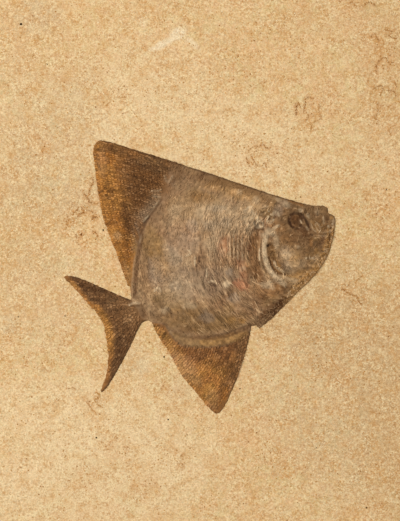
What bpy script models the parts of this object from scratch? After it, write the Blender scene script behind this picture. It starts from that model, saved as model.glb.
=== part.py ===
"""A fossil fish lying flat in a hand-trimmed slab of platy limestone.

The slab lies on its sawn underside. +X runs towards the fish's snout, +Y towards its back, and the
origin is the middle of the underside. The fish is a separate solid, bedded in a shallow recess that
follows its outline, and it stands a little proud of the slab's face.
"""

import math
import random

import bmesh
import bpy

MM = 0.001

# Driving dimensions.
SLAB_WIDTH = 460 * MM
SLAB_LENGTH = 600 * MM
SLAB_THICKNESS = 22 * MM
FISH_LENGTH = 298 * MM

# The broken rim of the slab: how far a trimming blow bites in, and how far apart the blows are.
NIBBLE_DEPTH = 5.0 * MM
NIBBLE_SPACING = 13 * MM
CORNER_LOSS = 9 * MM
ARRIS_CHAMFER = 1.2 * MM

# How the fish sits in the slab: each recess's depth, and how far each part stands above the face.
BODY_BED = 2.2 * MM
FIN_BED = 1.4 * MM
TAIL_BED = 1.8 * MM
CLEARANCE = 0.3 * MM
FIN_RELIEF = 0.7 * MM
TAIL_RELIEF = 1.1 * MM
BODY_RELIEF = 3.0 * MM
SHOULDER_WIDTH = 2.4 * MM
SHOULDER_STEPS = 4

# The outlines are drawn for a fish of this length, from the slab's middle, and scaled to FISH_LENGTH.
DRAWN_LENGTH = 298 * MM
SCALE = FISH_LENGTH / DRAWN_LENGTH

CURVE_STEPS = 4
FLAT_ANGLE = math.radians(0.1)
CORNER = "VECTOR"
SMOOTH = "AUTO"

LIMESTONE_COLOUR = (0.72, 0.50, 0.26, 1.0)
BONE_COLOUR = (0.24, 0.15, 0.08, 1.0)

BODY_OUTLINE = [
    (-31, 108, CORNER), (22, 92, SMOOTH), (77, 73.5, SMOOTH), (121, 61, SMOOTH),
    (136.5, 60, SMOOTH), (140.5, 57, SMOOTH), (141, 52, CORNER), (146.5, 49.5, SMOOTH),
    (149, 44, SMOOTH), (147.5, 30, SMOOTH), (142, 8.5, SMOOTH), (129, -13, SMOOTH),
    (109, -33.5, SMOOTH), (79, -62, SMOOTH), (64.5, -74, CORNER), (62.5, -71, CORNER),
    (44, -76, SMOOTH), (16.5, -83.5, SMOOTH), (-3, -85.5, SMOOTH), (-24, -80.5, SMOOTH),
    (-49.5, -68, SMOOTH), (-60, -64.5, SMOOTH), (-73, -61, CORNER), (-73.5, -48, CORNER),
    (-74.5, -30, SMOOTH), (-70.5, 3, SMOOTH), (-61, 34, SMOOTH), (-46, 63.5, SMOOTH),
]
DORSAL_FIN_OUTLINE = [
    (-26, 100, CORNER), (-31, 108.3, CORNER), (-66, 120.5, SMOOTH), (-99, 129.5, SMOOTH), (-108, 131.8, SMOOTH),
    (-114, 130.5, SMOOTH), (-117, 125, SMOOTH), (-116.5, 112, SMOOTH), (-112, 75, SMOOTH),
    (-107, 49, SMOOTH), (-98, 24, SMOOTH), (-85, -8.5, SMOOTH), (-74.8, -34, CORNER),
    (-62, -10, CORNER), (-40, 50, SMOOTH),
]
ANAL_FIN_OUTLINE = [
    (56.5, -70, CORNER), (53.5, -87.5, SMOOTH), (44, -120, SMOOTH), (30, -152, SMOOTH),
    (21.5, -165, SMOOTH), (17.5, -167, SMOOTH), (13, -164.5, SMOOTH), (-8.5, -140, SMOOTH),
    (-22.5, -122.5, SMOOTH), (-32.5, -103, SMOOTH), (-46, -83, SMOOTH), (-53.5, -67, CORNER),
    (-20, -62, SMOOTH), (30, -62, SMOOTH),
]
TAIL_OUTLINE = [
    (-149, -19, SMOOTH), (-145.5, -16.5, SMOOTH), (-130, -20.5, SMOOTH), (-97, -34.5, SMOOTH),
    (-72.5, -47.5, CORNER), (-56, -47, CORNER), (-57, -61, CORNER), (-66, -69.5, SMOOTH),
    (-79, -99, SMOOTH), (-100, -136, SMOOTH), (-107, -143.5, SMOOTH), (-109, -142, SMOOTH),
    (-103, -128, SMOOTH), (-99.5, -110, SMOOTH), (-102, -86, SMOOTH), (-108.5, -65, SMOOTH),
    (-123, -47, SMOOTH), (-141, -27, SMOOTH),
]

# Raised features of the head, as routes on the body's face: (x, y) in the outlines' units.
GIRDLE_RIDGE = [(72, 31), (67, 20), (66.5, 8), (69, -5), (76, -15), (87, -22), (97, -26)]
EYE_PLACE = (105.5, 45)
EYE_RADIUS = 8
EYE_RIM = 1.3
RIDGE_RADIUS = 1.6


def clear_scene():
    for old in list(bpy.data.objects):
        bpy.data.objects.remove(old)


def new_collection(name):
    made = bpy.data.collections.new(name)
    bpy.context.scene.collection.children.link(made)
    return made


def new_material(name, colour, roughness):
    material = bpy.data.materials.new(name)
    material.use_nodes = True
    shader = material.node_tree.nodes["Principled BSDF"]
    shader.inputs["Base Color"].default_value = colour
    shader.inputs["Roughness"].default_value = roughness
    shader.inputs["Metallic"].default_value = 0.0
    return material


def as_mesh(curve_object):
    """A mesh object in place of a curve object: its caps welded to its sides, its flats one face."""
    graph = bpy.context.evaluated_depsgraph_get()
    mesh = bpy.data.meshes.new_from_object(curve_object.evaluated_get(graph))
    shape = bmesh.new()
    shape.from_mesh(mesh)
    bmesh.ops.remove_doubles(shape, verts=shape.verts, dist=0.01 * MM)
    bmesh.ops.dissolve_limit(shape, angle_limit=FLAT_ANGLE, verts=shape.verts, edges=shape.edges)
    bmesh.ops.recalc_face_normals(shape, faces=shape.faces)
    shape.to_mesh(mesh)
    shape.free()
    name, place = curve_object.name, curve_object.matrix_world.copy()
    home = curve_object.users_collection[0]
    bpy.data.objects.remove(curve_object)
    made = bpy.data.objects.new(name, mesh)
    made.matrix_world = place
    home.objects.link(made)
    return made


def plate(name, outline, low, high, home, grow=0.0):
    """A flat plate with this outline from height low to high, its outline grown outwards by grow."""
    curve = bpy.data.curves.new(name, "CURVE")
    curve.dimensions = "2D"
    curve.fill_mode = "BOTH"
    curve.resolution_u = CURVE_STEPS
    curve.extrude = (high - low) / 2
    curve.offset = grow
    spline = curve.splines.new("BEZIER")
    spline.bezier_points.add(len(outline) - 1)
    for point, (x, y, handle) in zip(spline.bezier_points, outline):
        point.co = (x * MM * SCALE, y * MM * SCALE, 0)
        point.handle_left_type = handle
        point.handle_right_type = handle
    spline.use_cyclic_u = True
    made = bpy.data.objects.new(name, curve)
    made.location = (0, 0, (low + high) / 2)
    home.objects.link(made)
    bpy.context.view_layer.update()
    return as_mesh(made)


def round_upper_rim(piece):
    """Round over the edge between a plate's top and its sides."""
    top = max(vertex.co.z for vertex in piece.data.vertices)
    rim = piece.vertex_groups.new(name="upper_rim")
    rim.add([vertex.index for vertex in piece.data.vertices if vertex.co.z > top - MM / 100], 1.0, "ADD")
    shoulder = piece.modifiers.new("shoulder", "BEVEL")
    shoulder.limit_method = "VGROUP"
    shoulder.vertex_group = rim.name
    shoulder.width = SHOULDER_WIDTH
    shoulder.segments = SHOULDER_STEPS


def ridge(name, route, height, home):
    """A round ridge, half sunk in the face at this height."""
    curve = bpy.data.curves.new(name, "CURVE")
    curve.dimensions = "3D"
    curve.bevel_depth = RIDGE_RADIUS * MM * SCALE
    curve.bevel_resolution = 2
    curve.resolution_u = CURVE_STEPS
    curve.use_fill_caps = True
    spline = curve.splines.new("BEZIER")
    spline.bezier_points.add(len(route) - 1)
    for point, (x, y) in zip(spline.bezier_points, route):
        point.co = (x * MM * SCALE, y * MM * SCALE, height)
        point.handle_left_type = SMOOTH
        point.handle_right_type = SMOOTH
    made = bpy.data.objects.new(name, curve)
    home.objects.link(made)
    bpy.context.view_layer.update()
    return as_mesh(made)


def eye_rim(name, height, home):
    """The bony ring round the eye, half sunk in the face at this height."""
    x, y = EYE_PLACE
    bpy.ops.mesh.primitive_torus_add(
        location=(x * MM * SCALE, y * MM * SCALE, height),
        major_radius=EYE_RADIUS * MM * SCALE,
        minor_radius=EYE_RIM * MM * SCALE,
        major_segments=28,
        minor_segments=8,
    )
    made = bpy.context.object
    made.name = name
    for old_home in list(made.users_collection):
        old_home.objects.unlink(made)
    home.objects.link(made)
    return made


def boolean(target, other, operation):
    modifier = target.modifiers.new(f"{operation.lower()}_{other.name}", "BOOLEAN")
    modifier.operation = operation
    modifier.solver = "EXACT"
    modifier.object = other


def hide_helper(helper):
    helper.hide_render = True
    helper.display_type = "WIRE"


def trimmed_side(length, blows):
    """Inward bites along one side of the slab, 0 at the deepest standing point: (along, inward)."""
    bites = []
    for step in range(1, int(length / NIBBLE_SPACING)):
        along = step * NIBBLE_SPACING
        swell = 0.5 + 0.5 * math.sin(along / (5 * NIBBLE_SPACING) + blows.uniform(-0.8, 0.8))
        bites.append((along, NIBBLE_DEPTH * swell * blows.uniform(0.35, 1.0)))
    standing = min(inward for _, inward in bites)
    return [(along, inward - standing) for along, inward in bites]


def trimmed_outline():
    """The slab's plan outline, anticlockwise, with a bitten rim and blunt corners."""
    blows = random.Random(7)
    points = []
    corners = [(-1, -1), (1, -1), (1, 1), (-1, 1)]
    half = (SLAB_WIDTH / 2, SLAB_LENGTH / 2)
    for index, (sx, sy) in enumerate(corners):
        ex, ey = corners[(index + 1) % 4]
        start = (sx * half[0], sy * half[1])
        length = abs(ex - sx) * half[0] + abs(ey - sy) * half[1]
        along_axis = ((ex - sx) / 2, (ey - sy) / 2)
        inward_axis = (-along_axis[1], along_axis[0])
        loss = CORNER_LOSS * blows.uniform(0.5, 1.0)
        side = [(loss, 0.5 * loss * blows.uniform(0.1, 0.5))]
        side += [bite for bite in trimmed_side(length, blows) if loss < bite[0] < length - CORNER_LOSS]
        side.append((length - 0.6 * CORNER_LOSS, 0.2 * CORNER_LOSS))
        for along, inward in side:
            points.append((
                start[0] + along * along_axis[0] + inward * inward_axis[0],
                start[1] + along * along_axis[1] + inward * inward_axis[1],
            ))
    return points


def build_slab_blank(home):
    """The slab before the fish's recess is cut: an extruded outline with broken arrises."""
    curve = bpy.data.curves.new("limestone_slab", "CURVE")
    curve.dimensions = "2D"
    curve.fill_mode = "BOTH"
    curve.extrude = SLAB_THICKNESS / 2
    outline = trimmed_outline()
    spline = curve.splines.new("POLY")
    spline.points.add(len(outline) - 1)
    for point, (x, y) in zip(spline.points, outline):
        point.co = (x, y, 0, 1)
    spline.use_cyclic_u = True
    made = bpy.data.objects.new("limestone_slab", curve)
    made.location = (0, 0, SLAB_THICKNESS / 2)
    home.objects.link(made)
    bpy.context.view_layer.update()
    slab = as_mesh(made)
    arris = slab.modifiers.new("arris", "BEVEL")
    arris.width = ARRIS_CHAMFER
    arris.segments = 1
    arris.limit_method = "ANGLE"
    arris.angle_limit = math.radians(60)
    return slab


def build_fish(home, helpers):
    """The fish as one solid: a rounded body with thinner fin plates and the head's ridges."""
    face = SLAB_THICKNESS
    crown = face + BODY_RELIEF
    fish = plate("fossil_fish", BODY_OUTLINE, face - BODY_BED + CLEARANCE, crown, home)
    round_upper_rim(fish)
    added = [
        plate(name, outline, face - bed + CLEARANCE, face + relief, helpers)
        for name, outline, bed, relief in (
            ("dorsal_fin_plate", DORSAL_FIN_OUTLINE, FIN_BED, FIN_RELIEF),
            ("anal_fin_plate", ANAL_FIN_OUTLINE, FIN_BED, FIN_RELIEF),
            ("tail_plate", TAIL_OUTLINE, TAIL_BED, TAIL_RELIEF),
        )
    ]
    added.append(ridge("girdle_ridge", GIRDLE_RIDGE, crown, helpers))
    added.append(eye_rim("eye_rim", crown, helpers))
    for helper in added:
        boolean(fish, helper, "UNION")
        hide_helper(helper)
    return fish


def cut_recess(slab, helpers):
    """A flat-bottomed recess in the slab's face, wider than the fish by the clearance all round."""
    face = SLAB_THICKNESS
    for name, outline, bed in (
        ("body_recess", BODY_OUTLINE, BODY_BED),
        ("dorsal_fin_recess", DORSAL_FIN_OUTLINE, FIN_BED),
        ("anal_fin_recess", ANAL_FIN_OUTLINE, FIN_BED),
        ("tail_recess", TAIL_OUTLINE, TAIL_BED),
    ):
        cutter = plate(name, outline, face - bed, face + BODY_RELIEF, helpers, grow=CLEARANCE)
        boolean(slab, cutter, "DIFFERENCE")
        hide_helper(cutter)


def main():
    clear_scene()
    home = new_collection("fossil_fish_slab")
    helpers = new_collection("cutters_and_helpers")
    slab = build_slab_blank(home)
    fish = build_fish(home, helpers)
    cut_recess(slab, helpers)
    slab.data.materials.append(new_material("limestone", LIMESTONE_COLOUR, 0.85))
    fish.data.materials.append(new_material("fossil_bone", BONE_COLOUR, 0.6))


main()
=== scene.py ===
"""The looks of a fossil fish lying in a hand-trimmed slab of platy limestone.

Everything stands in the CAD's frame: +X towards the snout, +Y towards the fish's back, +Z up out of the
fossil-bearing face. Outlines and marks are drawn in millimetres from the slab's middle.
"""

import math

import bpy
import numpy as np
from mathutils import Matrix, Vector
from mathutils.geometry import delaunay_2d_cdt, interpolate_bezier


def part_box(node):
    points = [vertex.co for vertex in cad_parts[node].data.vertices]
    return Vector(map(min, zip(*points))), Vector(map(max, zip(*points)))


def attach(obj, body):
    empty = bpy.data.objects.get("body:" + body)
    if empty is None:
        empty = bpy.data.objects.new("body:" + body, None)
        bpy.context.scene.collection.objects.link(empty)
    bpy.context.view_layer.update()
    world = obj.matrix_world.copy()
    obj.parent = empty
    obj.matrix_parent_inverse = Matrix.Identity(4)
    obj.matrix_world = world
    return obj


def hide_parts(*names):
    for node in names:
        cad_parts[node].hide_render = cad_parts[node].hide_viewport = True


MM = 0.001

# What the camera frames from straight above, and how far above the face it stands, in metres.
VIEW_LENGTH = 573.1 * MM
CAMERA_RISE = 2.4
SENSOR_WIDTH = 36.0

# The studio: the floor's side in metres, each lamp's power in watts, width and place, and the sky.
FLOOR_SIZE = 12
LAMPS = {"key": (84, 1.4, (-2.3, 1.0, 2.3)), "fill": (10, 2.2, (1.8, -1.2, 1.6))}
SKY_STRENGTH = 0.55

# The fish's relief above the slab's face, in millimetres: the spacing of its points, the fins' and the
# body's rise, how far its rim dips below the face, the clear strip inside the rim, and the highest point.
FISH_STEP = 0.78
FIN_RISE = 0.9
BODY_RISE = 1.7
RIM_DIP = 1.5
RIM_CLEARANCE = 0.35
RISE_LIMIT = 3.45

# Chips of bone, in millimetres. Real ray joints and splinters are about 1 mm apart, too fine to show, so
# both are laid coarser. The scutes lie in three rows at these depths inside the margin of the jaw.
JOINT_STEP = 3.4
SPLINTER_STEP = 3.1
SCUTE_ROWS = (1.9, 4.3, 6.7)
SCUTES_A_ROW = 62

# The slab, in millimetres: its face's grid, the beds in its walls, how far they are broken back, how
# wide a strip of the face bends in to the trimmed rim, and how far the rock under the fish is sunk.
FACE_STEP = 2.0
BED_THICKNESS = 1.9
WALL_INSET = 1.9
RIM_STRIP = 35
FISH_BED_DEPTH = RIM_DIP + 0.6

# Iron oxide on the face: a grain's spacing along the trails, in millimetres, and how many places are
# tried for the grains strewn between them.
TRAIL_STEP = 0.35
GRAIN_TRIALS = 26000

# The third value of a knot where an outline turns sharply.
CORNER = "corner"

# The fish's outline in four stretches, anticlockwise from the hinder end of the belly.
HEAD_AND_BACK = [
    (56.5, -72, CORNER), (62.5, -71, CORNER), (65, -75, CORNER), (79.6, -62.8), (109, -33.5), (129, -13),
    (142, 8.5), (147.5, 30), (149, 44), (147.6, 48.8, CORNER), (140.8, 52.4, CORNER),
    (140.6, 57.6, CORNER), (136.5, 60), (121, 61), (77, 73.5), (22, 92), (-10, 102.3), (-31, 109),
]
DORSAL_FIN = [
    (-48, 114.6), (-66, 120.1), (-99, 130.3), (-108, 132.0), (-114, 130.5), (-117, 125), (-116.5, 112),
    (-112, 75), (-107, 49), (-98, 24), (-89.2, 1), (-85.4, -10), (-79.4, -27.5, CORNER),
    (-76.4, -29.5, CORNER),
]
TAIL_FIN = [
    (-75.6, -43.4, CORNER), (-86, -39.5), (-97, -34.8), (-130, -20.5), (-145.5, -16.5), (-149, -19),
    (-141, -27), (-123, -47), (-108.5, -65), (-103, -86), (-101, -110), (-103.5, -128), (-109.4, -143.4),
    (-107.6, -144.8), (-100, -136), (-79, -99), (-65.5, -71), (-59.5, -66),
]
ANAL_FIN = [
    (-53.5, -67.5, CORNER), (-46, -83), (-32.5, -103), (-22.5, -122.5), (-8.5, -140), (13, -165.6),
    (18, -168.4), (23.4, -165.4), (31.6, -151.5), (44, -120), (53.5, -87.5),
]
FISH_OUTLINE = HEAD_AND_BACK + DORSAL_FIN + TAIL_FIN + ANAL_FIN

# Where the fins leave the body, and each fin's leading and trailing edges.
DORSAL_BASE = [
    (-35, 88), (-39, 75), (-44, 63.5), (-49.5, 55.5), (-55, 48), (-60.5, 39), (-65, 28), (-69, 14),
    (-73, 0.5), (-75, -16), (-76, -29),
]
TAIL_BASE = [(-75, -44), (-68, -54), (-64, -63)]
ANAL_BASE = [
    (-54, -66), (-38.5, -69), (-31, -75.5), (-22, -82), (-11, -84), (0, -84.5), (13, -84), (24, -83),
    (35, -78.5), (46, -73),
]
BODY_OUTLINE = HEAD_AND_BACK + DORSAL_BASE + TAIL_BASE + ANAL_BASE
BACK = [(-31, 109), (-10, 102.3), (22, 92), (77, 73.5), (121, 61)]
JAW_AND_BELLY = [(147.5, 30), (142, 8.5), (129, -13), (109, -33.5), (79, -62), (64.5, -74)]
DORSAL_LEADING = [(-31, 109), (-66, 120.1), (-99, 130.3)]
DORSAL_TRAILING = [
    (-114, 131), (-117, 125), (-116.5, 112), (-112, 75), (-107, 49), (-98, 24), (-89.2, 1), (-85.4, -10),
    (-79.4, -27.5),
]
TAIL_TRAILING = [
    (-149, -19), (-141, -27), (-123, -47), (-108.5, -65), (-103, -86), (-101, -110), (-103.5, -128),
    (-109, -142),
]
ANAL_LEADING = [(56.5, -72), (53.5, -87.5), (44, -120), (31, -151.5), (22.5, -164.5)]
ANAL_TRAILING = [
    (-53.5, -68), (-46, -83), (-32.5, -103), (-22.5, -122.5), (-8.5, -140), (13, -164.5), (17.5, -167),
]

# The rays of the dorsal fin, the tail and the anal fin: where they start and end, how many there are,
# the lengths they stop short of the base, how far the first and the last bulge sideways, and a seed.
FIN_RAYS = [
    ([(-21, 103), (-29, 96)] + DORSAL_BASE, DORSAL_TRAILING, 66, [4], (4.5, 0), 1),
    (TAIL_BASE, TAIL_TRAILING, 52, [3], (3, -3), 2),
    (ANAL_BASE + [(55, -71)], ANAL_TRAILING, 46, [2, 9, 11, 11, 9], (0, -9), 3),
]

# The long bones and scale rows of the flank bend round this point on the cheek. Fibres are drawn at
# their true width on an arc of this radius, and drawn out along it by one over this share.
CHEEK = (115, 25)
FIBRE_RADIUS = 95
FIBRE_SHARE = 0.22

# The eye, and how far from its middle the splinters start.
EYE = (108, 42)
EYE_CLEARANCE = 13

# The heap of broken bone at the upper end of the shoulder girdle.
RUBBLE = (66, 46)

# The colours laid over the fish's ground colour, in this order. Chalk and ink also carry the few painted
# highlights and painted shade, marked where they are laid.
BONE_TINTS = {
    "tan": "#ae8a60", "olive": "#866438", "slate": "#937f6a", "blush": "#b0704c", "rust": "#a96d2e",
    "gold": "#bb8744", "umber": "#57371c", "chalk": "#c8ad88", "ink": "#341c0b",
}

# Lines on the fish: tint, strength, rise, width, soft edge, route.
BONE_LINES = [
    # the shoulder girdle: a pale bone with a bright strand beside it, the grooves and the ridge below. The
    # bright strand and the dark band right of it are partly painted highlight and painted shadow on the
    # ridge, lit from the left
    ("chalk", 0.75, 0.9, 3.4, 1.8, [(75, 30), (71.5, 22), (70.6, 13), (71.2, 4), (73.8, -4), (77.8, -12),
        (82.6, -17.5), (90, -21.5)]),
    # the bright strand: pale bone, partly a painted highlight on the ridge's lit side
    ("chalk", 1.0, 0.8, 1.2, 1.0, [(71, 20), (70.2, 11), (71, 2), (73.6, -5), (77.6, -12), (83, -17)]),
    ("chalk", 0.9, 0.9, 0.9, 0.9, [(65.6, 13), (65.2, 7), (65.2, 0)]),
    ("tan", 0.8, 0.5, 1.0, 1.2, [(65.8, 2), (68, -6), (71, -13), (77, -18)]),
    ("ink", 0.4, -0.5, 0.8, 1.1, [(67.6, 22), (67.4, 10), (67.8, 2), (70, -6.5), (74, -14)]),
    # the dark band: partly painted shadow on the ridge's far side
    ("umber", 0.75, -0.5, 5.5, 3.4, [(77, 18), (77.8, 10), (79.4, 2), (82, -5)]),
    ("gold", 0.5, 0.0, 6.0, 3.0, [(77, 17), (78.5, 8), (82, -4), (89, -12)]),
    ("umber", 0.95, -0.8, 1.4, 1.5, [(76.6, 3), (78.2, -4.6), (81.4, -10), (86.6, -14), (92, -15),
        (98, -15.8)]),
    ("chalk", 0.6, 0.5, 1.7, 1.3, [(81.4, -1), (83.6, -6.8), (87.4, -9.9), (91.9, -12.6)]),
    ("chalk", 0.35, 0.5, 3.6, 2.2, [(83, 27), (84, 20), (84.5, 14)]),
    # the dark band behind the girdle
    ("umber", 0.6, -0.4, 8.0, 4.0, [(61, 34), (60, 24), (57.5, 12), (56.5, 0)]),
    ("rust", 0.35, 0.0, 7.0, 4.0, [(61, 28), (60, 14), (59, 2), (62, -12), (66, -22)]),
    ("umber", 0.5, -0.2, 5.0, 4.0, [(62, 2), (63, -10), (68, -22), (73, -34)]),
    ("ink", 0.6, -0.7, 2.6, 1.8, [(60.4, 44), (61.8, 39), (65, 34)]),
    # the eye, its second rim and the cheek, with a painted highlight on the eye's inner wall
    ("umber", 0.95, -0.2, 15.0, 2.4, [(103, 46.5), (105.5, 43), (108.5, 39.5)]),
    ("umber", 0.9, -0.2, 7.0, 5.0, [(107, 35), (113, 33), (118, 28)]),
    ("ink", 0.85, -0.7, 1.9, 1.4, [(100.5, 37.6), (98.6, 41), (98, 46), (99.8, 50), (103.6, 51.8),
        (108, 51.4), (112.4, 49.2)]),
    ("ink", 0.6, -0.5, 1.4, 1.3, [(109.6, 49), (112, 46.4), (113.6, 42)]),
    ("ink", 0.45, -0.4, 1.4, 1.6, [(112, 38), (109, 36), (105, 35.3), (101, 37)]),
    ("ink", 0.6, -0.3, 1.6, 1.2, [(110.5, 39), (112, 37)]),
    ("ink", 0.85, -0.6, 1.7, 1.4, [(108, 51.6), (112.6, 49.6), (115.2, 46), (117.6, 41.4),
        (119.8, 36.5)]),
    ("umber", 0.7, -0.4, 1.3, 1.5, [(120.4, 37), (121.6, 32), (121, 26)]),
    ("ink", 0.3, -0.3, 0.8, 1.0, [(104.5, 40), (103, 44), (104, 47.6), (107, 47), (108.4, 43)]),
    # a painted highlight: the glint on the eye's inner wall, lit from the left
    ("chalk", 0.6, 0.4, 0.9, 0.8, [(110.3, 44.4), (111.6, 41)]),
    ("chalk", 0.3, 0.3, 1.4, 1.4, [(117, 37), (119, 33.5)]),
    # the forehead and the snout
    ("rust", 0.5, 0.2, 2.0, 1.6, [(97, 66.5), (105, 63.8), (113, 60.5)]),
    ("umber", 0.7, -0.4, 1.1, 1.3, [(98, 62.8), (104.5, 59.6), (110, 57.2), (119, 55)]),
    ("tan", 0.8, 0.3, 0.9, 0.9, [(114.2, 54.6), (116.5, 56), (118.8, 54), (118, 51), (115, 51)]),
    ("umber", 0.6, -0.3, 1.2, 1.4, [(125.5, 58), (125, 52), (127.5, 47)]),
    ("chalk", 0.4, 0.3, 0.9, 0.9, [(135.5, 48.5), (136.2, 40)]),
    ("umber", 0.7, -0.4, 1.1, 1.2, [(148, 42), (144, 36), (142.6, 30), (142.4, 22)]),
    ("chalk", 0.4, 0.4, 0.6, 0.8, [(127, 38), (127, 40.7), (128.7, 41.3), (130.9, 38), (132.5, 33.6),
        (131.5, 31.9), (128.7, 34.1), (127, 38)]),
    ("chalk", 0.4, 0.3, 0.8, 0.9, [(122.2, 39), (124.5, 34.5), (127.5, 31.5)]),
    ("chalk", 0.15, 0.2, 0.8, 0.9, [(132, 31.6), (137, 30.4), (141, 31)]),
    ("umber", 0.55, -0.3, 0.8, 1.0, [(131.5, 29.6), (137, 28.8), (141.5, 29.2)]),
    ("chalk", 0.2, 0.2, 0.9, 0.9, [(132.5, 27.2), (137, 26.9), (141, 27)]),
    ("umber", 0.6, -0.4, 1.4, 1.3, [(126, 16.5), (131, 17.5)]),
    # ring-shaped scutes at the chin
    ("chalk", 0.55, 0.4, 0.7, 0.8, [(136.4, 10.5), (138, 12.3), (139.9, 10.5), (138.2, 8.7),
        (136.4, 10.5)]),
    ("chalk", 0.5, 0.4, 0.7, 0.8, [(136.6, 3), (138.4, 4.6), (140, 2.8)]),
    # the line where the dorsal fin leaves the body, and the pale rays that cross it
    ("umber", 0.7, -0.45, 1.0, 1.8, [(-42, 66.5), (-49.5, 55.5), (-55, 48), (-60.5, 39), (-65, 28)]),
    ("umber", 0.75, -0.4, 2.4, 2.6, [(-64, 29), (-66.4, 14), (-68.4, 0.5), (-70.4, -16), (-72, -40)]),
    ("chalk", 0.4, 0.3, 0.8, 1.0, [(-51.5, 58), (-45.5, 66)]),
    ("chalk", 0.7, 0.3, 1.0, 1.0, [(-62.5, 43), (-57, 49)]),
    ("ink", 0.4, -0.3, 1.0, 1.0, [(-61, 41), (-55.5, 47.5)]),
    ("chalk", 0.25, 0.3, 1.2, 1.2, [(-39, 93.5), (-36.5, 86.5)]),
    ("chalk", 0.3, 0.3, 1.2, 1.2, [(-30, 93), (-35, 85.5)]),
    ("chalk", 0.4, 0.2, 0.8, 1.2, [(-54, 76), (-43, 77.5)]),
    ("chalk", 0.4, 0.2, 0.8, 1.2, [(-52, 70.5), (-43, 70)]),
    # the line where the anal fin leaves the body, and the smooth band below it
    ("olive", 0.55, 0.1, 6.0, 5.0, [(-28, -82), (-12, -90), (0, -91), (16.5, -89.5), (33, -86),
        (50, -79)]),
    ("tan", 0.6, 0.1, 3.5, 3.0, [(-11, -92), (8.5, -90), (34, -86.5), (51, -80.5)]),
    ("gold", 0.35, 0.0, 6.0, 3.0, [(2, -90.4), (14, -89.6), (34, -86.5), (51, -80.5)]),
    ("umber", 0.5, -0.3, 1.4, 2.2, [(-38.5, -69), (-31, -75.5), (-22, -82), (-11, -84.5), (0, -85),
        (13, -84)]),
    ("umber", 0.75, -0.5, 3.2, 3.0, [(6, -86), (15, -84.5), (27, -82.5), (41, -78), (56, -71.5)]),
    # the tail's root
    ("chalk", 0.5, 0.3, 1.6, 1.4, [(-78, -49), (-72, -46.6), (-66, -46.8)]),
    ("ink", 0.4, -0.3, 1.0, 1.0, [(-76, -50), (-66, -50)]),
    # strokes of bone across the flank
    ("chalk", 0.85, 0.4, 1.2, 1.0, [(-5.5, 4), (-5.5, -5)]),
    ("ink", 0.75, -0.4, 1.5, 1.2, [(-0.5, 5), (-1, -2)]),
    ("ink", 0.55, -0.4, 1.6, 1.2, [(-3.5, -4), (-3.5, -7)]),
    ("chalk", 0.8, 0.4, 1.3, 1.0, [(-13.5, 12), (-10, 8), (-16.5, 4.5)]),
    ("chalk", 0.6, 0.4, 1.2, 1.0, [(-15.5, -22), (-10.5, -29)]),
    ("chalk", 0.8, 0.4, 1.4, 1.0, [(7.5, -9.5), (7.5, -18)]),
    ("chalk", 0.8, 0.4, 1.3, 1.0, [(9, -23.5), (13, -22.5), (18, -24)]),
    ("ink", 0.4, -0.4, 1.4, 1.2, [(8, -27.5), (13, -26.5), (18, -28)]),
    ("ink", 0.6, -0.4, 1.4, 1.2, [(3, -23), (5, -31)]),
    ("ink", 0.5, -0.4, 2.2, 1.6, [(-36, -52), (-31, -58)]),
    ("chalk", 0.8, 0.5, 1.4, 1.2, [(-50, -34), (-46, -29.5), (-43, -34)]),
    ("chalk", 0.8, 0.4, 1.3, 1.0, [(49, 52), (52.5, 58), (57, 59.5)]),
    ("chalk", 0.8, 0.4, 1.3, 1.0, [(54, 55), (61, 50)]),
    ("chalk", 0.95, 0.6, 1.1, 1.0, [(63.4, 37.6), (63, 41.5), (65.6, 43.4), (69, 41.4), (69, 37.6),
        (66, 36.2)]),
    ("umber", 0.8, -0.4, 1.6, 1.2, [(66.5, 34.6), (70.5, 33.8)]),
    ("chalk", 0.7, 0.4, 1.6, 1.6, [(80.5, 34.5), (83.5, 37), (87, 38.5)]),
    ("chalk", 0.55, 0.5, 1.4, 1.4, [(80, 50), (81.5, 54), (85.5, 52.4), (87, 49)]),
    ("umber", 0.6, -0.4, 1.6, 1.4, [(81.5, 48), (84, 47)]),
    # the long fine bones in front of the dark band
    ("chalk", 0.4, 0.3, 0.4, 0.8, [(31, 30), (30.4, 18), (31, 6)]),
    ("chalk", 0.5, 0.3, 0.5, 0.8, [(33.4, 32), (32.8, 18), (33.4, 4)]),
    ("ink", 0.3, -0.3, 0.4, 0.8, [(35, 26), (34.6, 14), (35.4, 0)]),
    ("chalk", 0.5, 0.3, 0.5, 0.8, [(38, 32), (37, 18), (37.4, 3)]),
    ("ink", 0.3, -0.3, 0.5, 0.8, [(39.6, 26), (39, 12), (39.4, -4)]),
    ("chalk", 0.45, 0.3, 0.5, 0.8, [(42, 30), (41.4, 16), (41.8, 0)]),
    ("ink", 0.35, -0.3, 0.5, 0.8, [(44, 24), (43.6, 12), (44.2, -2)]),
    ("chalk", 0.4, 0.3, 0.5, 0.8, [(46.5, 26), (46, 14), (46.6, 0)]),
    ("ink", 0.4, -0.3, 0.7, 0.8, [(49, 20), (48.6, 10), (49.4, -2)]),
]

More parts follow.
